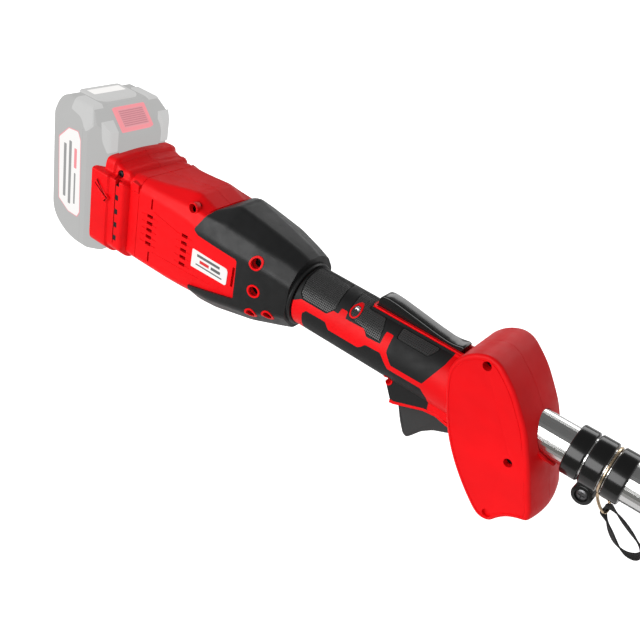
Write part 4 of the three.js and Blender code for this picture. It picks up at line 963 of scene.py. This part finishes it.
def make_patch(name, points):
    outline = patch_outline(points)
    xs, ys = [x for x, _, _ in outline], [y for _, y, _ in outline]
    sheet = knurled_sheet(min(xs) - 2, max(xs) + 2, min(ys) - 2, max(ys) + 2, -0.7, -0.15, 0.6)
    patch = common(sheet, slab("outline", outline, -1, 3, "Z"))
    patch.name = f"grip_texture_{name}"
    dress(wrapped(patch, GRIP_R), "tool_body", "knurl", angle=12)


def patch_recess(points):
    """Cutter for the sunk bed of a patch with the groove round it."""
    outline = patch_outline(points)
    centre = Vector((sum(p[0] for p in outline), sum(p[1] for p in outline))) / len(outline)
    grown = []
    for x, y, corner in outline:
        away = Vector((x, y)) - centre
        grown.append((x + math.copysign(0.55, away.x), y + math.copysign(0.55, away.y), corner))
    return wrapped(sliced(slab("recess", grown, -0.75, 3, "Z"), 1.0), GRIP_R)


def guard_room():
    cx, cz = GUARD_MID
    scaled = [(cx + (x - cx) * 0.88, cz + (z - cz) * 0.88, 6) for x, z in GUARD]
    half = GUARD_FOOT_HALF - WALL
    return slab("room", scaled, -half, 2 * half)


def make_handle():
    side_screws = [GRIP_SCREW, TRIGGER_SCREW]
    room_trigger = block("room", -6, 47, -9.4, 9.4, -60, -15.6)
    rear, front = PLINTH["x0"] + 1, PLINTH["x1"] - 2
    room_lever = slab("room", cornered([(rear, 40), (rear, 17.4), (-10, 17.4), (front, 16.5), (front, 40)]),
                      -LEVER_HALF - GAP, 2 * (LEVER_HALF + GAP))
    outer_plinth = plinth(PLINTH["lip"], PLINTH["top"] - GAP)
    envelope = join(grip_body(GRIP_R), trigger_housing(TRIGGER_SKIN), outer_plinth)
    raised = common(duplicate(envelope), slab("region", cornered(RED_PANEL, 0.8), -60, 120))

    spout = rod("spout", POLE_R + 2.2, 86, 112, sides=96, rim=0.5)
    spout = common(spout, slab("limit", cornered(SPOUT_LIMIT), -30, 60))
    lip_half = TRIGGER_HALF + TRIGGER_SKIN
    lip = slab("lip", cornered(TRIGGER_LIP, 0.6), -lip_half, 2 * lip_half, rim=0.5)
    red = join(grip_body(GRIP_CORE_R), trigger_housing(0), plinth(0, PLINTH["top"]), raised,
               plinth_rim(0, PLINTH["top"] - 0.02, PLINTH["rim"]), lip, flare(0), guard_body(), spout)
    pegs = [common(rod("peg", PEG_R, -40, -4, "Y", place, 40), grown_envelope(0.35)) for place in side_screws]
    rooms = [
        guard_room(), rod("bore", POLE_R + GAP, -64.3, 130, sides=96),
        rod("bore", 12, GRIP_REAR - 1, -63, sides=64), duplicate(room_trigger), duplicate(room_lever),
    ]
    holes = screw_holes(GRIP_SCREW_R, -10, side_screws, 32)
    holes += screw_holes(GUARD_SCREW_R, -GUARD_FOOT_HALF + 2, GUARD_SCREWS, 32)
    shell = cut(join(red, *pegs), *rooms)
    shell = join(shell, common(pole_collar(), guard_body()))
    shell = cut(shell, *holes, panel_groove(-1), panel_groove(1))
    dress_halves(halves("handle_shell", shell), "handle")

    grown = [
        rod("core", GRIP_CORE_R + GAP, -100, 60, sides=120), trigger_housing(GAP), plinth(GAP, PLINTH["top"]),
        flare(GAP), plinth_rim(GAP, PLINTH["top"] - 0.02, 20),
        slab("lip", cornered(TRIGGER_LIP, 0.6), -30, 60),
        slab("region", cornered(RED_PANEL, 0.8), -60, 120),
        room_trigger, room_lever, block("limit", 31.6, 80, -60, 60, -60, 60),
    ]
    washers = [rod("washer", PEG_R + GAP, -40, 0, "Y", place, 32) for place in side_screws]
    pads = cut(envelope, *grown, *washers)
    pads = cut(pads, *[patch_recess(points) for points in PATCHES.values()])
    dress(settle(pads, 24), "tool_body", "soft_grip", "grip_pad_upper", "grip_pad_lower")
    pads.name = "grip_rubber"
    for name, points in PATCHES.items():
        make_patch(name, points)


def grown_envelope(grow):
    return join(grip_body(GRIP_R + grow), trigger_housing(TRIGGER_SKIN + grow))


def pole_collar():
    """Inside wall of the guard round the pole, so that no gap shows beside the tube."""
    return hoop("sleeve", POLE_R + GAP, POLE_R + 2.6, 40, 99, sides=96)


def panel_groove(side):
    """Fine groove that runs just inside the edge of the guard's side face."""
    outline = guard_outline()
    rings = []
    for depth, shrink in ((0.3, 2.6), (-2, 2.2), (-2, 3.8), (0.3, 3.4)):
        rings.append([(moved.x, side * (guard_half(point.y) - depth), moved.y)
                      for point, moved in zip(outline, inset(outline, shrink))])
    count = len(outline)
    faces = []
    for i in range(len(rings)):
        n = (i + 1) % len(rings)
        for j in range(count):
            k = (j + 1) % count
            faces.append((i * count + j, i * count + k, n * count + k, n * count + j))
    return mesh_object("groove", [point for ring in rings for point in ring], faces)


make_handle()


# ---------------------------------------------------------------- lever, trigger, battery detail
def make_lever():
    """Lock-off lever: a blade, thick at its rear end, with a tail that curls up at the front."""
    rear = PLINTH["x0"]
    upper = [(rear + 1.6, 22.4), (rear + 1.8, 28.6), (rear + 4, 31.4), (rear + 8, 32), (-16.7, 31.5), (0, 29),
             (12, 27.1), (23, 25.8), (28, 26), (33.6, 27.2), (35.2, 26.2)]
    lower = [(34.4, 24.2), (33.2, 21.6), (30, 18.6), (24, 19.6), (10, 20.8), (-4, 21.6)]
    blade = slab("lever_blade", cornered(upper + lower, 1.6), -LEVER_HALF, 2 * LEVER_HALF, rim=0.9, steps=8)
    # A groove under the crowned top face leaves a bead along each upper edge.
    groove = [(x, z - 1.9) for x, z in upper[2:-1]] + [(x, z - 2.5) for x, z in reversed(upper[2:-1])]
    for side in (-1, 1):
        blade = cut(blade, slab("line", cornered(groove), side * LEVER_HALF - 0.3, 0.6))
    pin = rod("pin", 1.5, 1 - PLINTH["half"], PLINTH["half"] - 1, "Y", LEVER_PIVOT, 32)
    dress(join(blade, pin), "lock_off", "gloss_black", "lock_off_lever", angle=35)


def make_trigger():
    outline = [(1, -28.5), (5, -35), (9.3, -45.5), (14, -54), (17.4, -55.4), (20.4, -52), (26, -44.6),
               (33.6, -38.4), (42.4, -34.4), (45.5, -33), (45.5, -26), (41, -20), (35, -20), (20, -26)]
    blade = slab("trigger_blade", cornered(outline, 2.4), -9, 18, rim=1.4, steps=6)
    pin = rod("pin", 1.5, -TRIGGER_HALF, TRIGGER_HALF, "Y", TRIGGER_PIVOT, 32)
    dress(join(blade, pin), "trigger_body", "charcoal_plastic", "trigger", angle=35)


LABEL_CORNERS = [(-312, 37), (-300.6, 47.7), (-289.7, 48.7), (-286.5, 42.9), (-285.1, -16.9), (-287.9, -21.6),
                 (-298.9, -21.4), (-310.9, -14.4)]
LABEL_RIM = 0.7
# Bars on the battery's labels: x from and to, z from and to, material.
LABEL_BARS = [
    (-305.5, -302.5, -10, 34, "pale_print"), (-299.5, -296.5, -14, 38, "pale_print"),
    (-293, -291.2, -12, 14, "pale_print"), (-293.4, -290.4, 18, 34, "pale_red"),
]
BATTERY_HALF = 38


def make_battery_labels():
    """Blank pale labels with a thin outline; bars stand where the real ones have print."""
    cx, cz = (sum(values) / len(LABEL_CORNERS) for values in zip(*LABEL_CORNERS))
    inner = [(cx + (x - cx) * (1 - LABEL_RIM / 13), cz + (z - cz) * (1 - LABEL_RIM / 35))
             for x, z in LABEL_CORNERS]
    for side, word in ((-1, "right"), (1, "left")):

        def layer(name, depth, corners, material):
            start = side * BATTERY_HALF - (0.2 if side > 0 else depth)
            dress(slab(name, cornered(corners, 0.8), start, depth + 0.2, rim=0.05), "battery", material)

        layer(f"battery_label_rim_{word}", 0.1, LABEL_CORNERS, "pale_outline")
        layer(f"battery_label_{word}", 0.16, inner, "white_label")
        for number, (x0, x1, z0, z1, ink) in enumerate(LABEL_BARS, 1):
            layer(f"battery_label_bar_{word}_{number}", 0.22, [(x0, z0), (x1, z0), (x1, z1), (x0, z1)], ink)
    top = mirrored(cornered([(-310, -15), (-301, -15)], 0.6))
    dress(slab("battery_label_top", top, 69.3, 0.25, "Z", rim=0.05), "battery", "white_label")


def make_battery_case():
    """Battery case with bevelled corners, stepped shoulders, raised top plate and recess for the button."""
    half = BATTERY_HALF
    side = [(-319, 68, 10), (-319, -30, 16), (-299, -44, 12), (-266, -44, 4), (-266, 50, 5), (-283, 68, 5)]
    front = [(-half - 1, -50, 0), (-half - 1, 49.5, 3), (-29.6, 68.5, 3)]
    front += [(-y, z, radius) for y, z, radius in reversed(front)]
    plan = mirrored([(-320, -39, 5), (-281, -39, 2), (-265, -27.4, 4)])
    case = slab("battery_case", side, -half, 2 * half, rim=2.4, steps=8)
    roof = slab("roof", front, -330, 80, "X", steps=6)
    case = common(case, roof, slab("plan", plan, -50, 130, "Z", steps=6))
    plateau = mirrored([(-315, -19, 3), (-293, -19, 3), (-288, -14, 3)])
    plateau = slab("plateau", plateau, 64, 5.4, "Z", rim=1.2, steps=6)
    # Curved plates that stand proud of the bevelled corners.
    plates = [
        [(-303, 72, 2), (-286, 72, 2), (-276.5, 58, 5), (-275, 50.5, 1.5), (-279.6, 47.4, 1.5),
         (-282.6, 53, 4), (-290, 59, 4), (-303, 61, 2)],
        [(-271.5, 62, 1.5), (-263, 53, 1.5), (-261, 42, 1.5), (-266.6, 38, 1.5), (-270.4, 47, 3)],
    ]
    plate_roof = [(y * 1.03, z + (0.6 if z > 0 else 0), radius) for y, z, radius in front]
    plate_plan = mirrored([(-320, -38, 5), (-281, -38, 2), (-264.4, -28.6, 2)])
    shoulders = []
    for outline in plates:
        for y0 in (-45, 22):
            plate = common(slab("plate", outline, y0, 23), slab("limit", plate_plan, -50, 130, "Z"))
            shoulders.append(common(plate, slab("roof", plate_roof, -330, 80, "X", steps=6)))
    whole = join(case, slab("tongue", tongue_plan(0), -34, 70, "Z"))
    cavity_side = [(-316.6, 46, 8), (-316.6, -28, 8), (-297, -41.6, 8), (-268.4, -41.6, 2), (-268.4, 38, 2)]
    cavity_plan = mirrored([(-316, -34, 2), (-281, -34, 2), (-269, -25, 2)])
    cavity = common(slab("cavity", cavity_side, -34, 68), slab("plan", cavity_plan, -44, 104, "Z"))
    slots = [block("slot", -268, -263, y - 0.8, y + 0.8, -36, 26) for y in (-9, -3, 3, 9)]
    pocket = on_slope("pocket", 10.2, 15.7, -7.4, 10)
    core_side = [(x + (2.0 if x < -300 else -0.5), z * 0.985, radius) for x, z, radius in side]
    parting = block("parting", -285.2, -284.8, -60, 60, -80, 100)
    parting = cut(parting, slab("core", core_side, 0.5 - half, 2 * half - 1, rim=2.4, steps=8))
    case = cut(whole, cavity, *slots, pocket, parting)
    dress(settle(case, 28), "battery", "pale_plastic", "battery_case_rear", "battery_case_front")
    # The top plate and the shoulder plates take the lighter pale, a painted highlight on the battery's top
    # and bevelled corners.
    dress(settle(join(plateau, *shoulders), 28), "battery", "pale_painted_highlight")


LATCH_TOP = Vector((-283, 0, 68))
LATCH_BOTTOM = Vector((-266, 0, 50))


def on_slope(name, half_length, half_width, inner, outer, shift=0.0, rim=0.0):
    """A block laid on the battery's slanted face, its thickness running outwards from the face."""
    down = (LATCH_BOTTOM - LATCH_TOP).normalized()
    across = Vector((0, 1, 0))
    out = down.cross(across)
    centre = (LATCH_TOP + LATCH_BOTTOM) / 2 + down * shift
    corners = mirrored(cornered([(-half_length, -half_width), (half_length, -half_width)], 1.4))
    flat = slab(name, corners, inner, outer - inner, "Z", rim=rim)
    return reshaped(flat, lambda place: centre + down * place.x + across * place.y + out * place.z)


def make_battery_button():
    """Release button: a smooth frame round a sunk, ribbed thumb pad."""
    cap = on_slope("battery_button_cap", 9.5, 15, -4, 1.4, rim=0.7)
    cap = cut(cap, on_slope("bed", 7.2, 12.4, 0.5, 4))
    dress(cap, "battery_button", "pale_red", "battery_release_button", angle=30)
    dress(on_slope("battery_button_pad", 7.1, 12.3, 0.2, 0.62), "battery_button", "pale_pink", angle=30)
    ribs = join(*[on_slope("rib", 0.45, 11.4, 0.2, 1.35, shift=shift, rim=0.25)
                  for shift in (-5.6, -4.0, -2.4, -0.8, 0.8, 2.4, 4.0, 5.6)])
    ribs.name = "battery_button_ribs"
    dress(ribs, "battery_button", "pale_rib", angle=30)


make_lever()
make_trigger()
make_battery_case()
make_battery_labels()
make_battery_button()


# ---------------------------------------------------------------- pole fittings
COLLARS = {"collar_rear": (115.6, 126.2), "collar_front": (141.4, 152)}
CLAMP = (127.2, 138.2)
COLLAR_R = 16
CASE_SCREW_R = 2.6


def collar_band(name, x0, x1, rim=1.1):
    """Band round the pole whose outer edges are rounded."""
    bore = POLE_R + 0.05
    turns = [math.pi / 2 * k / 4 for k in range(4, -1, -1)]
    near = [(x0 + rim * (1 - math.sin(turn)), COLLAR_R - rim * (1 - math.cos(turn))) for turn in turns]
    far = [(x0 + x1 - x, r) for x, r in reversed(near)]
    return turned(name, [(x0, bore)] + near + far + [(x1, bore), (x0, bore)], sides=128)


def make_collars():
    for name, (x0, x1) in COLLARS.items():
        dress(collar_band(name + "_band", x0, x1), "tool_body", "gloss_black", name, angle=40)
    x0, x1 = CLAMP
    low = -COLLAR_R - 5.4
    place = ((x0 + x1) / 2, low)
    lug = rod("lug", 6.6, -7.6, 7.6, "Y", place, 64, rim=0.9)
    root = block("root", x0 + 0.3, x1 - 0.7, -7, 7, low, -POLE_R - 1.5)
    split = block("split", x0 - 1, x1 + 1, -0.6, 0.6, -40, -POLE_R + 1)
    holes = [rod("hole", 4.2, -20, -6.2, "Y", place, 32), rod("hole", 1.7, -8, 8, "Y", place, 24)]
    band = cut(join(collar_band("clamp_band", x0, x1), lug, root), split, *holes)
    dress(band, "tool_body", "gloss_black", "clamp_ring", angle=35)
    make_screw_head("clamp_screw", place, -7.3, 3.8, "dark_steel")


def make_screw_head(node, place, face, radius, material):
    """Pan head with a cross recess, facing -Y, on a short shank."""
    profile = [(face, 0), (face, radius * 0.55), (face + 0.35, radius * 0.86), (face + 0.9, radius),
               (face + 1.9, radius), (face + 1.9, radius * 0.5), (face + 10, radius * 0.5), (face + 10, 0)]
    head = turned(node + "_head", profile, "Y", place, 40)
    x, z = place
    long, thin = radius * 0.6, 0.35
    arms = [block("arm", x - a, x + a, face - 1, face + 1, z - b, z + b)
            for a, b in ((long, thin), (thin, long))]
    dress(cut(head, *arms), "tool_body", material, node, angle=35)


def make_case_screws():
    """Screw heads in the right-hand side, each sunk to its own depth."""
    seats = {
        "flange_screw": (FLANGE_SCREW, -30), "body_screw": (BODY_SCREW, -22),
        "nose_screw_upper": (NOSE_SCREWS[0], -24.8), "nose_screw_lower": (NOSE_SCREWS[1], -24.8),
        "trigger_screw": (TRIGGER_SCREW, -10.8), "guard_screw_top": (GUARD_SCREWS[0], -19.4),
        "guard_screw_front": (GUARD_SCREWS[1], -19.4), "guard_screw_foot": (GUARD_SCREWS[2], -15.8),
    }
    for node, (place, face) in seats.items():
        make_screw_head(node, place, face, CASE_SCREW_R, "screw_black")
    make_screw_head("grip_screw", GRIP_SCREW, -13.4, CASE_SCREW_R, "steel")


def closed_tube(name, points, radius):
    """Smooth round wire along a closed line of points given in millimetres."""
    curve = bpy.data.curves.new(name, "CURVE")
    curve.dimensions = "3D"
    curve.bevel_depth = radius * MM
    curve.bevel_resolution = 3
    curve.resolution_u = 8
    spline = curve.splines.new("NURBS")
    spline.points.add(len(points) - 1)
    for knot, point in zip(spline.points, points):
        knot.co = (*at(*point), 1)
    spline.order_u = 4
    spline.use_cyclic_u = True
    spline.use_endpoint_u = False
    wire = bpy.data.objects.new(name, curve)
    bpy.context.collection.objects.link(wire)
    mesh = bpy.data.meshes.new_from_object(wire.evaluated_get(bpy.context.evaluated_depsgraph_get()))
    bpy.data.objects.remove(wire)
    return link_mesh(name, mesh)


RING_X = 139.8
WIRE_R = 0.95
# The ring's eye for the strap, as (x from the ring, y, z).
EYE = [
    (1.4, -6.4, -18), (5.4, -6.8, -22.6), (8.4, -4.8, -26), (8.9, 0, -26.6), (8.4, 4.8, -26),
    (5.4, 6.8, -22.6), (1.4, 6.4, -18),
]


def make_carrying_ring():
    """Wire ring round the pole, open below, where it runs out into an eye."""
    points = []
    for i in range(25):
        turn = math.radians(-62 + i * 304 / 24)
        points.append((RING_X, math.cos(turn) * (POLE_R + 1.4), math.sin(turn) * (POLE_R + 1.4)))
    points += [(RING_X + x, y, z) for x, y, z in EYE]
    wire = closed_tube("carrying_wire", points, WIRE_R)
    dress(wire, "carrying_eye", "brass", "carrying_ring", angle=60)


# Middle line of the webbing as (x, z).
STRAP_CENTRE = [
    (146.2, -26.6), (149.6, -30.8), (153.2, -35.4), (157.2, -40.4), (162, -44.6), (168, -46.4),
    (173.4, -44.6), (175.4, -40.6), (172.4, -36.2), (166.4, -31.8), (160, -27.8), (154, -24.4),
    (149, -22.9),
]
# The two runs of the webbing twist opposite ways between the eye and the bight.
STRAP_TURN = math.radians(43)
STRAP_HALF = 5.0
STRAP_THICKNESS = 1.1
# Upper half of the webbing's section: (share of its half width, share of its thickness).
STRAP_SECTION = [
    (-1, 0.25), (-0.98, 0.5), (-0.86, 0.5), (-0.8, 0.36), (-0.4, 0.4), (0, 0.42), (0.4, 0.4), (0.8, 0.36),
    (0.86, 0.5), (0.98, 0.5), (1, 0.25),
]


def catmull(points, steps):
    """Closed smooth line through points."""
    line = []
    count = len(points)
    for i in range(count):
        p0, p1, p2, p3 = (Vector(points[(i + k) % count]) for k in (-1, 0, 1, 2))
        for k in range(steps):
            t = k / steps
            line.append(0.5 * (2 * p1 + (p2 - p0) * t + (2 * p0 - 5 * p1 + 4 * p2 - p3) * t * t
                               + (3 * p1 - p0 - 3 * p2 + p3) * t ** 3))
    return line


def make_strap():
    """Loop of black webbing, with selvedges that stand a little thicker than the weave."""
    line = catmull(STRAP_CENTRE, 12)
    section = STRAP_SECTION + [(y, -h) for y, h in reversed(STRAP_SECTION)]
    points, faces = [], []
    count, around = len(line), len(section)
    for i, centre in enumerate(line):
        along = (line[(i + 1) % count] - line[i - 1]).normalized()
        turn = STRAP_TURN * math.sin(math.tau * i / count)
        for y, h in section:
            width, shift = y * STRAP_HALF, h * STRAP_THICKNESS
            out = width * math.sin(turn) + shift * math.cos(turn)
            across = width * math.cos(turn) - shift * math.sin(turn)
            points.append((centre.x + along.y * out, across, centre.y - along.x * out))
        n = (i + 1) % count
        for j in range(around):
            k = (j + 1) % around
            faces.append((i * around + j, i * around + k, n * around + k, n * around + j))
    strap = mesh_object("strap_webbing", points, faces)
    dress(strap, "carrying_eye", "webbing", "strap_loop", angle=40)


make_collars()
make_case_screws()
make_carrying_ring()
make_strap()


# ---------------------------------------------------------------- guide bar and saw chain
HEAD_X = 1190
BAR_Y = -23
BAR_HALF = 2.2
NOSE_X = 1494
NOSE_R = 17.4
CHAIN_JOINTS = 80
# How far the rivets stand out from the inner edge of the chain.
RIVET_HEIGHT = 2.6
BAR_CLEARANCE = 0.4
SPROCKET_R = 14.4
LINK_HALF = 0.7
TIE_INNER = 1.5
TIE_OUTER = 2.65
# Which links out of every eight are cutters, and the side of the bar that each cuts on.
CUTTER_SIDES = {1: -1, 5: 1}


def bar_track(grow):
    """Closed line round the drive sprocket and the guide bar, in even small steps."""
    def arc(cx, radius, start, end):
        turns = [math.radians(start + (end - start) * k / 16) for k in range(17)]
        return [Vector((cx + math.cos(t) * (radius + grow), math.sin(t) * (radius + grow))) for t in turns]

    lower = [Vector((HEAD_X + dx, -z - grow)) for dx, z in ((60, 21), (140, 23.4), (230, 21.6))]
    upper = [Vector((point.x, -point.y)) for point in reversed(lower)]
    corners = arc(HEAD_X, SPROCKET_R, 100, 260) + lower + arc(NOSE_X, NOSE_R, -75, 75) + upper
    line = []
    for a, b in zip(corners, corners[1:] + corners[:1]):
        steps = max(1, round((b - a).length))
        line += [a.lerp(b, k / steps) for k in range(steps)]
    # Averaging each point with its neighbours rounds the corners off.
    for _ in range(24):
        line = [(line[i - 1] + point + line[(i + 1) % len(line)]) / 3 for i, point in enumerate(line)]
    return line


def spaced(line, count):
    """Points at even distances round a closed line."""
    lengths = [(line[(i + 1) % len(line)] - point).length for i, point in enumerate(line)]
    step, points, travelled = sum(lengths) / count, [], 0.0
    for i, length in enumerate(lengths):
        while len(points) < count and len(points) * step <= travelled + length:
            points.append(line[i].lerp(line[(i + 1) % len(line)], (len(points) * step - travelled) / length))
        travelled += length
    return points


def chain_link(corners, start, end, y0, y1, rim=0.25):
    """A plate given along the chain and out from it, laid between two joints."""
    flat = slab("link", cornered(corners, 0.5), y0, y1 - y0, rim=rim, steps=2)
    along = (end - start).normalized()
    out = Vector((along.y, -along.x))
    middle = (start + end) / 2

    def lay(place):
        spot = middle + along * place.x + out * (place.z - RIVET_HEIGHT)
        return spot.x, place.y, spot.y
    return reshaped(flat, lay)


def gathered(name, pieces):
    """One object from several closed pieces, left as they are."""
    made = bmesh.new()
    for piece in pieces:
        made.from_mesh(piece.data)
        bpy.data.objects.remove(piece)
    mesh = bpy.data.meshes.new(name)
    made.to_mesh(mesh)
    made.free()
    return link_mesh(name, mesh)


def make_chain():
    """Drive links, tie straps and left and right cutters in turn, riveted round the bar."""
    joints = spaced(bar_track(BAR_CLEARANCE + RIVET_HEIGHT), CHAIN_JOINTS)
    pitch = (joints[1] - joints[0]).length
    long = pitch / 2 + 2.1
    strap = [(-long, 1.2), (-long + 1.4, 0.5), (-1.2, 1.0), (1.2, 1.0), (long - 1.4, 0.5), (long, 1.2),
             (long, 3.9), (long - 1.4, 4.7), (1.2, 4.3), (-1.2, 4.3), (-long + 1.4, 4.7), (-long, 3.9)]
    tang = [(-long, 1.2), (-2.6, 0.3), (2.6, 0.3), (long, 1.2), (long, 4.2), (0, 4.9), (-long, 4.2)]
    cutter = [(-long, 1.2), (-long + 1.4, 0.5), (long - 1.4, 0.5), (long, 1.2), (long, 4.4), (long - 2, 4.7),
              (1.2, 2.9), (0.2, 5.2), (-long, 4.6)]
    cutter_top = [(-long + 0.4, 4.5), (0.2, 4.5), (0.2, 5.2), (-long + 0.4, 4.8)]

    def plate(shape, near, far, side=1, rim=0.25):
        y0, y1 = sorted((BAR_Y + side * near, BAR_Y + side * far))
        return chain_link(shape, start, end, y0, y1, rim)

    plates, teeth, rivets = [], [], []
    for i, start in enumerate(joints):
        end = joints[(i + 1) % CHAIN_JOINTS]
        if i % 2 == 0:
            plates.append(plate(tang, -LINK_HALF, LINK_HALF))
        else:
            cutting = CUTTER_SIDES.get(i % 8)
            for side in (-1, 1):
                shape, kind = (cutter, teeth) if cutting == side else (strap, plates)
                kind.append(plate(shape, TIE_INNER, TIE_OUTER, side))
            if cutting:
                teeth.append(plate(cutter_top, 0.4, 3.1, cutting, rim=0.1))
        rivets.append(rod("rivet", 1.15, BAR_Y - 2.95, BAR_Y + 2.95, "Y", (start.x, start.y), 16, rim=0.3))
    dress(gathered("saw_chain_links", plates), "saw_head", "dark_steel", "saw_chain", angle=30)
    dress(gathered("saw_chain_cutters", teeth), "saw_head", "steel", angle=30)
    dress(gathered("saw_chain_rivets", rivets), "saw_head", "steel", angle=30)


def make_bar_rivets():
    """Rivet heads that hold the bar's plates together and carry its nose sprocket."""
    reach = BAR_HALF + 0.25
    places = [(NOSE_X - 30, z, 1.7) for z in (-8, 0, 8)]
    for k in range(3):
        turn = math.tau * k / 3
        places.append((NOSE_X + 6 * math.cos(turn), 6 * math.sin(turn), 1.4))
    heads = [rod("rivet", radius, BAR_Y - reach, BAR_Y + reach, "Y", (x, z), 24, rim=0.15)
             for x, z, radius in places]
    dress(gathered("guide_bar_rivets", heads), "saw_head", "dark_steel", angle=30)


make_chain()
make_bar_rivets()


# ---------------------------------------------------------------- CAD nodes that show
CAD_EDGE = 0.5
CAD_EDGE_ANGLE = 22


def finish_cad_node(obj):
    """Rounds the edges of a CAD node by modifiers; the mesh itself stays as packed."""
    for polygon in obj.data.polygons:
        polygon.use_smooth = True
    flat = obj.modifiers.new("flats", "DECIMATE")
    flat.decimate_type = "DISSOLVE"
    flat.angle_limit = math.radians(1.0)
    bevel = obj.modifiers.new("edges", "BEVEL")
    bevel.width = CAD_EDGE * MM
    bevel.segments = 2
    bevel.limit_method = "ANGLE"
    bevel.angle_limit = math.radians(CAD_EDGE_ANGLE)
    bevel.use_clamp_overlap = True
    bevel.miter_outer = "MITER_ARC"
    weight_normals(obj)


for entry in frame["record"]["subparts"]:
    node = NODES[entry["node"]]
    node.data.materials.clear()
    node.data.materials.append(MATERIALS[entry["material_slot"]])
    finish_cad_node(node)
